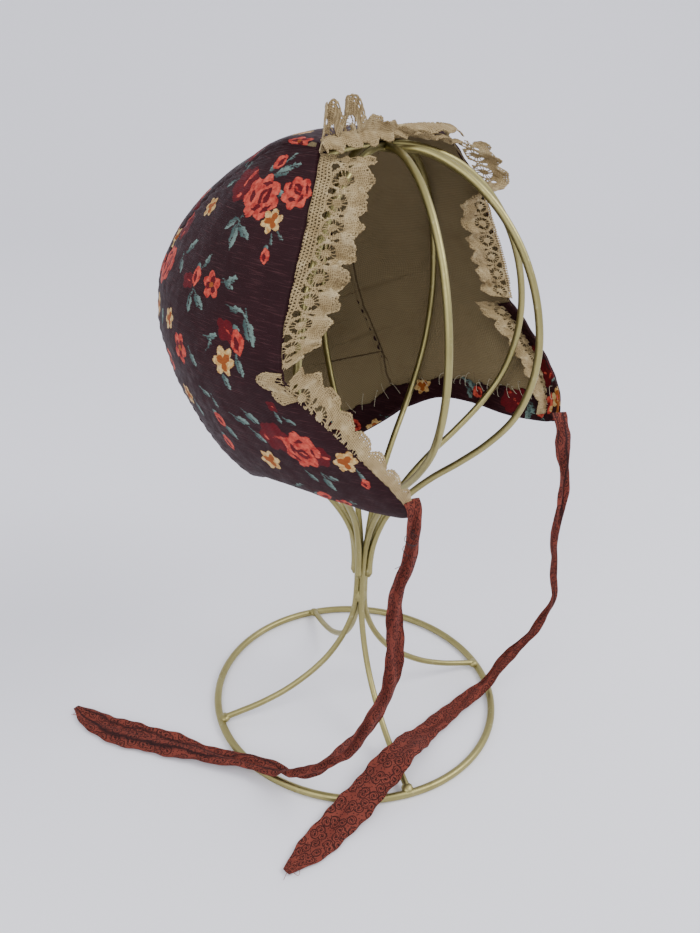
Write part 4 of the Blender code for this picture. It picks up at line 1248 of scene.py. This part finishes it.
# %% Turned edge of the far cheek
TURNED_STEP = 0.028
rim_shares = RIM_BEND * np.linspace(0.0, 1.0, 25)
rim = in_frame([[side_point(1.0, TURNED_STEP * i, share) for i in range(7)] for share in rim_shares])
places = finer_sheet(rim, 150, 25)
mesh, row, column = moved_grid("far_cheek_turned_edge", places)
outward(mesh)
from_rim = lengths(places, 1)[row, column]
sink(mesh, np.interp(from_rim, [0.0, 2.0], [1.4, 2.6]))
flat = np.stack([from_rim + 10.0, 200.0 + lengths(places, 0)[row, column]], axis=1)
laid = drawn(mesh, flat, *ways_along(places, row, column), [(0.0, 0.0)])
lay_cloth(mesh, STRIP_CLOTH, None)
print("turned edge:", len(mesh.polygons), "faces,", laid, "flowers")

# %% [markdown]
# ## The stitches
# The strip is sewn down with long whip stitches in pale thread. Each is a short strand that
# rises over the raw edge and dips into the linen above; here and there one is missing, and thin
# threads of the print stand off the edge. A few short stitches also hold the near cheek's rim.

# %% Whip stitches
STITCH_PITCH = 7
STITCH_HEIGHTS = [(0, 3.2), (0, 4.4), (1, 5.0), (2, 4.0), (2, 2.2)]
RIM_STITCH_HEIGHTS = [(0, -0.5), (0, 0.25), (1, 0.2), (1, -0.6)]
middle = in_frame((0.0, EAR[0], EAR[1]))
stitches, wisps = [], []
for number, at in enumerate(range(12, 586, STITCH_PITCH)):
    at = at + int(dice.integers(-2, 3))
    slant = int(dice.integers(-5, 9))
    low_row = top_row[at] * dice.uniform(0.62, 0.85)
    high_row = min(top_row[at] * dice.uniform(1.06, 1.34), 108.0)
    along_to = min(max(at + slant, 4), 596)
    crossing = strip[int(top_row[at]), (at + along_to) // 2]
    ends = [strip[int(low_row), at], crossing, strip[int(high_row), along_to]]
    inward = unit(middle - crossing)
    if number % 6:
        stitches.append(finer([ends[end] + inward * height * MM for end, height in STITCH_HEIGHTS], 9))
    stray = dice.normal(size=3) * 1.8 * MM
    wisp = [crossing + inward * 3.2 * MM, crossing + inward * 4.2 * MM + 0.4 * stray]
    wisps.append(finer([*wisp, crossing + inward * 4.4 * MM + stray], 7))
mesh = tube_mesh("whip_stitches", stitches, 0.26, 1)
piece_from(mesh, plain_thread("pale_thread", dye(206, 198, 172)), "cream_lace")
mesh = tube_mesh("raw_edge_threads", wisps, 0.16, 0)
piece_from(mesh, dark_thread, "printed_cotton")
rim_stitches = []
for share in (0.20, 0.25, 0.36, 0.41, 0.47, 0.60, 0.66, 0.79):
    along_rim = RIM_BEND * (share + dice.uniform(-0.01, 0.01))
    ends = in_frame([side_point(-1.0, 0.012, along_rim), side_point(-1.0, 0.036, along_rim - 0.003)])
    out = unit(ends[0] - middle)
    rim_stitches.append(finer([ends[end] + out * lift * MM for end, lift in RIM_STITCH_HEIGHTS], 7))
mesh = tube_mesh("rim_stitches", rim_stitches, 0.26, 1)
piece_from(mesh, plain_thread("rim_thread", dye(186, 172, 150)), "cream_lace")
print("stitches:", len(stitches) + len(rim_stitches), "and", len(wisps), "stray threads")

# %% [markdown]
# ## The lace's pattern
# The edge is a cream bobbin-lace trimming about 27 mm wide, with a row of spider wheels, dense
# fans with small holes and a scalloped border of tiny loops. A formula says how far inside a
# thread each place of the flat lace is: above zero there is thread, below it there is a hole.
# The finish adds what is too fine for that, such as the knots of the net, and it adds painted shade in
# the ruffles' hollows and a painted highlight on their crests.

# %% Lace pattern
LACE_WIDTH = 27.0
WHEEL_PITCH, WHEEL_AT, WHEEL_RADIUS, SPOKES = 12.8, 12.4, 4.7, 15
SCALLOP_RADIUS, PICOT_PITCH = 7.1, 1.42


def holes(x, y, pitch_x, pitch_y, radius):
    """Distance outside staggered round holes."""
    line = np.floor(y / pitch_y)
    x = x / pitch_x + 0.5 * np.mod(line, 2.0)
    dx = (np.mod(x, 1.0) - 0.5) * pitch_x
    dy = (np.mod(y / pitch_y, 1.0) - 0.5) * pitch_y
    return np.hypot(dx, dy) - radius


def lace_thread(u, v):
    """How far inside the lace's thread a place is, in millimetres."""
    x = (np.mod(u / WHEEL_PITCH, 1.0) - 0.5) * WHEEL_PITCH
    y = v - WHEEL_AT
    far, angle = np.hypot(x, 0.94 * y), np.arctan2(y, x)
    turn = np.abs(np.mod(angle * SPOKES / math.tau + 0.5, 1.0) - 0.5) * math.tau / SPOKES
    spoke = 0.24 - far * turn
    core = 1.9 + 0.15 * np.cos(9.0 * angle) - far
    eyelet = 0.30 - np.abs(far - 1.05) * 1.6 - 0.6 * np.abs(np.sin(2.5 * angle))
    wheel = np.maximum(np.minimum(core, -eyelet), spoke)
    wheel = np.where(far < WHEEL_RADIUS, wheel, 9.0)
    scallop = np.sqrt(np.maximum(SCALLOP_RADIUS**2 - x**2, 0.0)) - SCALLOP_RADIUS
    crest = LACE_WIDTH - 0.6 + 0.95 * scallop
    crest = crest + 0.55 * np.abs(np.sin(u * math.pi / PICOT_PITCH)) - 0.4
    inside_edge = crest - v
    beat = (np.mod(u / PICOT_PITCH, 1.0) - 0.5) * PICOT_PITCH
    outer_holes = np.hypot(beat, inside_edge - 1.55) - 0.40
    border = np.minimum(outer_holes, np.hypot(beat, inside_edge - 3.1) - 0.34)
    net = holes(u, v, 1.75, 1.6, 0.52)
    eye_x, eye_y = np.abs(x) - 0.5 * WHEEL_PITCH, v - 8.4
    eye_far = np.hypot(eye_x, eye_y)
    eye = np.maximum(eye_far - 1.9, 0.20 - np.abs(np.abs(eye_x) - np.abs(eye_y)))
    side_slit = np.hypot(0.8 * (np.abs(x) - 0.5 * WHEEL_PITCH), 0.35 * (v - 15.6)) - 0.55
    ground = np.where(v > WHEEL_AT + 1.5, np.minimum(border, side_slit), np.minimum(net, eye))
    pattern = np.where(far < 5.2, wheel, ground)
    pattern = np.where((v < 8.0) & (far > WHEEL_RADIUS) & (far < 5.6), 0.6, pattern)
    return np.minimum(pattern, inside_edge)


def lace_finish():
    r = Recipe("cream_lace_thread", 0.88)
    where = r.here()
    laid = r.step("ShaderNodeSeparateXYZ", Vector=r.noted("laid", vector=True))
    tone = r.blend(r.cloud(where, 11.0, 4.0), dye(150, 129, 92), dye(180, 161, 123))
    aged = r.spread(r.cloud(where, 4.0, 4.0), 0.52, 0.74, 0.0, 0.5)
    tone = r.blend(aged, tone, dye(122, 100, 66))
    turns = [r.sum("MULTIPLY", laid.outputs[axis], math.tau / 1.9) for axis in (0, 1)]
    net = r.sum("MULTIPLY", *[r.sum("SINE", turn) for turn in turns])
    pierced = r.spread(r.sum("ABSOLUTE", net), 0.42, 0.66, 0.0, 0.62)
    tone = r.blend(pierced, tone, dye(74, 60, 38))
    strands = r.cloud(where, 0.42, 4.0)
    tone = r.blend(r.spread(strands, 0.34, 0.52, 0.5, 0.0), tone, dye(104, 86, 58))
    # Painted shade where the lace lies deep in a fold, and a painted highlight where it stands out,
    # both read from the fold attribute.
    tone = r.blend(r.spread(r.noted("fold_shade_and_highlight"), 0.2, 1.6, 0.0, 0.45), tone, dye(96, 78, 50))
    tone = r.blend(r.spread(r.noted("fold_shade_and_highlight"), -0.3, -1.5, 0.0, 0.40), tone, dye(206, 190, 152))
    r.shader.inputs["Specular IOR Level"].default_value = 0.1
    return r.done(tone, r.bumps(strands, 0.8, 0.00035, r.bumps(pierced, -0.6, 0.0003)))


cream_lace = lace_finish()
print("finish:", cream_lace.name)

# %% [markdown]
# ## The ruffles
# Real holes matter, because the lining and the wires show through them. So each length of lace
# is a fine grid: the faces outside a thread are deleted, and the points along the cut are slid
# onto the thread's true edge. Then the flat lace is laid along its gathered ruffle. Where a
# ruffle is narrow, the lace isn't squeezed: its inner part is tucked in behind the edge and left
# out. Each row of a table reads: share of the edge, lean forward, inward and up, width.

# %% Lace laid along its edge
def face_edge_root(mirror, share, into):
    return side_point(mirror, into, RIM_BEND + (1.0 - RIM_BEND) * (1.0 - share))


def notch_root(mirror, share, into):
    return side_point(mirror, into, RIM_BEND + 0.03 - 0.07 * share)


def forehead_root(mirror, share, into):
    """Just under the print's front edge, and past its near corner."""
    past = -6.0 * max(0.0, 1.0 - 2.0 * share)
    return centre_point(mirror * (2.0 * share - 1.0), 1.0 - into) + np.array([past, 1.4, -2.6])


def fold_root(mirror, share, into):
    """A little above that edge, where the lace is folded down over it."""
    return forehead_root(mirror, share, into) + np.array([0.0, 0.9, 6.6])


def outside_rim_root(mirror, share, into):
    """On the outside of the near cheek, where the lace laps over its rim."""
    place = side_point(mirror, 0.05 + into, RIM_BEND * share)
    return place - 1.5 * unit(np.array([0.0, *EAR]) - place)


def turned_edge_root(mirror, share, into):
    """On the inside of the far cheek, past the cloth that is turned over its rim."""
    place = side_point(mirror, 0.14 - into, RIM_BEND * share)
    return place + 3.4 * unit(np.array([0.0, *EAR]) - place)


LACES = {
    "near_face_ruffle": ("right_face_lace", face_edge_root, -1.0, [
        (0.02, 0.80, 0.60, 0.0, 27.0), (0.30, 0.85, 0.50, 0.0, 27.0), (0.57, 0.80, 0.45, 0.0, 25.0),
        (0.82, 0.65, 0.60, 0.1, 20.0), (0.95, 0.45, 0.45, 0.5, 13.0)]),
    "far_face_ruffle": ("left_face_lace", face_edge_root, 1.0, [
        (0.03, 0.85, -0.50, -0.10, 21.0), (0.22, 0.70, -0.60, -0.05, 20.0),
        (0.32, 0.30, 0.70, 0.00, 21.0),
        (0.44, -0.25, 0.95, 0.00, 23.0), (0.80, -0.35, 0.93, 0.05, 24.0),
        (0.99, -0.30, 0.90, 0.20, 23.0)]),
    "near_cheek_ruffle": ("right_cheek_lace", outside_rim_root, -1.0, [
        (0.08, 0.15, 0.55, 0.80, 7.0), (0.40, 0.20, 0.65, 0.75, 10.5),
        (0.62, 0.20, 0.65, 0.75, 13.5),
        (0.82, 0.30, 0.45, 0.80, 18.0), (0.97, 0.50, 0.20, 0.75, 16.0)]),
    "far_cheek_ruffle": ("left_cheek_lace", turned_edge_root, 1.0, [
        (0.06, -0.10, 0.95, 0.15, 11.0), (0.40, -0.25, 0.95, 0.05, 16.0),
        (0.75, -0.30, 0.93, 0.00, 18.0),
        (1.00, -0.30, 0.93, 0.05, 21.0)]),
    "forehead_ruffle": ("forehead_lace", forehead_root, 1.0, [
        (0.00, 0.20, 0.00, 0.95, 18.0), (0.02, 0.10, 0.00, 1.00, 24.0),
        (0.06, 0.10, 0.00, 1.00, 24.0),
        (0.09, 0.25, 0.00, 0.95, 15.0), (0.13, 0.10, 0.00, 1.00, 24.0),
        (0.18, 0.10, 0.00, 1.00, 24.0),
        (0.22, 0.30, 0.00, 0.90, 15.0), (0.34, 0.40, 0.00, 0.85, 14.0),
        (0.46, 0.60, 0.00, 0.60, 11.0),
        (0.60, 0.75, 0.00, 0.25, 12.0), (0.70, 0.85, 0.00, 0.05, 17.0),
        (0.97, 0.85, 0.00, -0.20, 15.0)]),
    "forehead_fold": (None, fold_root, 1.0, [
        (0.00, 0.55, 0.00, -0.60, 10.0), (0.20, 0.60, 0.00, -0.60, 11.0),
        (0.45, 0.60, 0.00, -0.50, 10.0),
        (0.64, 0.70, 0.00, -0.40, 10.0), (0.78, 0.85, 0.00, -0.25, 12.5),
        (0.96, 0.80, 0.00, -0.35, 12.0)]),
    "near_notch_fold": (None, notch_root, -1.0, [
        (0.00, -0.60, -0.60, 0.10, 9.0), (0.30, -0.80, -0.55, 0.05, 13.5),
        (0.70, -0.80, -0.55, -0.15, 13.5),
        (1.00, -0.60, -0.60, -0.30, 9.0)]),
}
CELL, LACE_WALL = 0.40, 0.5
GATHER, WAVE_LENGTH = 1.12, 15.0


def lace_frames(edge, mirror, rows, stations=72):
    """Root, lean, face and width along the edge, and how long the edge is."""
    found = []
    for at in np.linspace(rows[0][0], rows[-1][0], stations):
        forward, inward, up, width = (eased(rows, column, at) for column in (1, 2, 3, 4))
        root = edge(mirror, at, 0.0)
        lean = unit(np.array([-mirror * inward, forward, up]))
        run = unit(edge(mirror, min(at + 0.01, 1.0), 0.0) - edge(mirror, max(at - 0.01, 0.0), 0.0))
        clear = unit(root - edge(mirror, at, 0.04))
        face = unit(np.cross(run, lean))
        found.append([*root, *lean, *face, *clear, width])
    found = np.array(found)
    steps = np.linalg.norm(np.diff(found[:, :3], axis=0), axis=1)
    return found, np.concatenate([[0.0], np.cumsum(steps)])


def make_lace(name, edge, mirror, rows, seed):
    found, reached = lace_frames(edge, mirror, rows)
    length = reached[-1]
    along_cells = int(length * GATHER / CELL)
    across_cells = int(LACE_WIDTH / CELL * 0.96)
    stations = np.linspace(0.0, length, along_cells + 1)
    depths = np.linspace(0.0, LACE_WIDTH, across_cells + 1)
    u, v = np.meshgrid(stations, depths, indexing="ij")
    thread = lace_thread(u * GATHER + 4.0 * seed, v)
    slope_u, slope_v = np.gradient(thread, length / along_cells, LACE_WIDTH / across_cells)
    steep = np.maximum(slope_u**2 + slope_v**2, 0.25)
    kept = 0.25 * (thread[:-1, :-1] + thread[1:, :-1] + thread[:-1, 1:] + thread[1:, 1:]) > 0.0
    tucked = LACE_WIDTH - np.interp(u, reached, found[:, 12])
    kept &= (v >= tucked)[:-1, :-1]
    area = kept.sum() * (length * GATHER / along_cells) * (LACE_WIDTH / across_cells) * MM * MM
    padded = np.pad(kept, 1).astype(int)
    around_kept = padded[:-1, :-1] + padded[1:, :-1] + padded[:-1, 1:] + padded[1:, 1:]
    cut = (around_kept > 0) & (around_kept < 4)
    reach = 0.42 * CELL
    u = u - np.where(cut, np.clip(thread * slope_u / steep, -reach, reach), 0.0)
    v = v - np.where(cut, np.clip(thread * slope_v / steep, -reach, reach), 0.0)
    at = [np.interp(u, reached, found[:, k]) for k in range(12)]
    root, lean, face, clear = (np.stack(at[3 * k : 3 * k + 3], axis=-1) for k in range(4))
    out_of_hem = np.maximum(v - tucked, 0.0)
    share = out_of_hem / LACE_WIDTH
    first, last = rows[0][0], rows[-1][0]
    turns = math.tau * (first * length / (last - first) + u) / WAVE_LENGTH
    where = np.stack([u.ravel(), v.ravel()], axis=1)
    rumple = soft_noise(where, 11.0, 40 + seed).reshape(u.shape)
    crimp = soft_noise(where, 4.5, 60 + seed).reshape(u.shape)
    wave = 2.2 * np.sin(turns) * share + 1.0 * np.sin(u / 1.9 + seed) * share**0.5
    wave = wave + 1.5 * rumple * share**0.7 + 0.45 * crimp * share**0.4 - 1.4 * share**2
    # How far into a fold each point lies, for the painted shade and highlight of the lace's finish.
    fold_shade_and_highlight = 1.3 * rumple + 0.7 * crimp + 0.5 * np.sin(u / 1.9 + seed)
    shrink = 1.0 + 0.03 * np.cos(2.0 * turns) - 0.05 * np.abs(rumple)
    place = root + 0.4 * clear + lean * (out_of_hem * shrink)[..., None]
    place = place + face * wave[..., None]
    run = unit(np.gradient(root, axis=0))
    place = place + run * (1.1 * crimp * share)[..., None]
    mesh, row, column = moved_grid(name, in_frame(place))
    note(mesh, "laid", np.stack([u * GATHER, v, 0.0 * v], axis=-1)[row, column])
    note(mesh, "fold_shade_and_highlight", fold_shade_and_highlight[row, column])
    corners = np.empty(4 * len(mesh.polygons), int)
    mesh.polygons.foreach_get("vertices", corners)
    corners = corners.reshape(-1, 4)
    gone = ~kept[row[corners].min(axis=1), column[corners].min(axis=1)]
    shaped = bmesh.new()
    shaped.from_mesh(mesh)
    shaped.faces.ensure_lookup_table()
    bmesh.ops.delete(shaped, geom=[shaped.faces[i] for i in np.flatnonzero(gone)], context="FACES")
    bmesh.ops.delete(shaped, geom=loose_islands(shaped, 60), context="FACES")
    shaped.to_mesh(mesh)
    shaped.free()
    return mesh, length * GATHER, found[:, 12].max(), area


def loose_islands(shaped, smallest):
    """Faces of islands too small to be held by the rest of the lace."""
    seen, small = set(), []
    for first in shaped.faces:
        if first in seen:
            continue
        island, queue = [first], [first]
        seen.add(first)
        while queue:
            for edge in queue.pop().edges:
                for other in edge.link_faces:
                    if other not in seen:
                        seen.add(other)
                        island.append(other)
                        queue.append(other)
        if len(island) < smallest:
            small += island
    return small


for seed, (name, (node, edge, mirror, rows)) in enumerate(LACES.items()):
    mesh, length, width, area = make_lace(name, edge, mirror, rows, seed + 1)
    faces = len(mesh.polygons)
    piece = piece_from(mesh, cream_lace, "cream_lace", wall=LACE_WALL, outward=0.0)
    if node:
        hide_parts(node)
    print(name, faces, "faces,", round(width), "x", round(length), "mm of lace")

# %% [markdown]
# ## Floor and light
# The cap was photographed on a seamless pale sweep under broad, even light. Here the sweep is
# a grid that bends up well behind the stand, along the way the camera looks, so that no
# horizon shows. A bright sky all round and two large lamps give the same soft shadows.

# %% Sweep and lamps
def sweep_finish():
    r = Recipe("pale_sweep", 0.8)
    return r.done(r.blend(r.cloud(r.here(), 900.0), dye(240, 240, 247), dye(244, 244, 250)))


BEND_STARTS, BEND_REACH = 1.3, 1.6
SKY_COLOUR, SKY_STRENGTH = (0.87, 0.87, 0.93, 1.0), 1.17
LAMPS_AIM = Vector((0.0, 0.0, 0.2))
shaped = bmesh.new()
bmesh.ops.create_grid(shaped, x_segments=40, y_segments=80, size=4.0)
into = around @ Vector((sight.x, sight.y, 0.0)).normalized()
for vertex in shaped.verts:
    back = vertex.co.dot(into) - BEND_STARTS
    if back > 0.0:
        turn = 0.5 * math.pi * min(back / BEND_REACH, 1.0)
        vertex.co -= into * max(back - BEND_REACH * math.sin(turn), 0.0)
        vertex.co.z = BEND_REACH * (1.0 - math.cos(turn)) + max(back - BEND_REACH, 0.0)
sweep_mesh = bpy.data.meshes.new("sweep")
shaped.to_mesh(sweep_mesh)
shaped.free()
sweep_mesh.polygons.foreach_set("use_smooth", [True] * len(sweep_mesh.polygons))
sweep_mesh.materials.append(sweep_finish())
sweep = placed("sweep", sweep_mesh)
world = bpy.data.worlds.new("sky")
bpy.context.scene.world = world
world.use_nodes = True
background = world.node_tree.nodes["Background"]
background.inputs["Color"].default_value = SKY_COLOUR
background.inputs["Strength"].default_value = SKY_STRENGTH
for name, place, size, power in (
    ("key_lamp", (0.7, -1.1, 1.5), 1.0, 21.0),
    ("window_lamp", (-1.3, -0.5, 1.2), 1.4, 14.0),
):
    lamp = bpy.data.lights.new(name, "AREA")
    lamp.size, lamp.energy = size, power
    holder = placed(name, lamp)
    holder.location = place
    holder.rotation_euler = (LAMPS_AIM - Vector(place)).to_track_quat("-Z", "Y").to_euler()
print("sweep and lamps set")
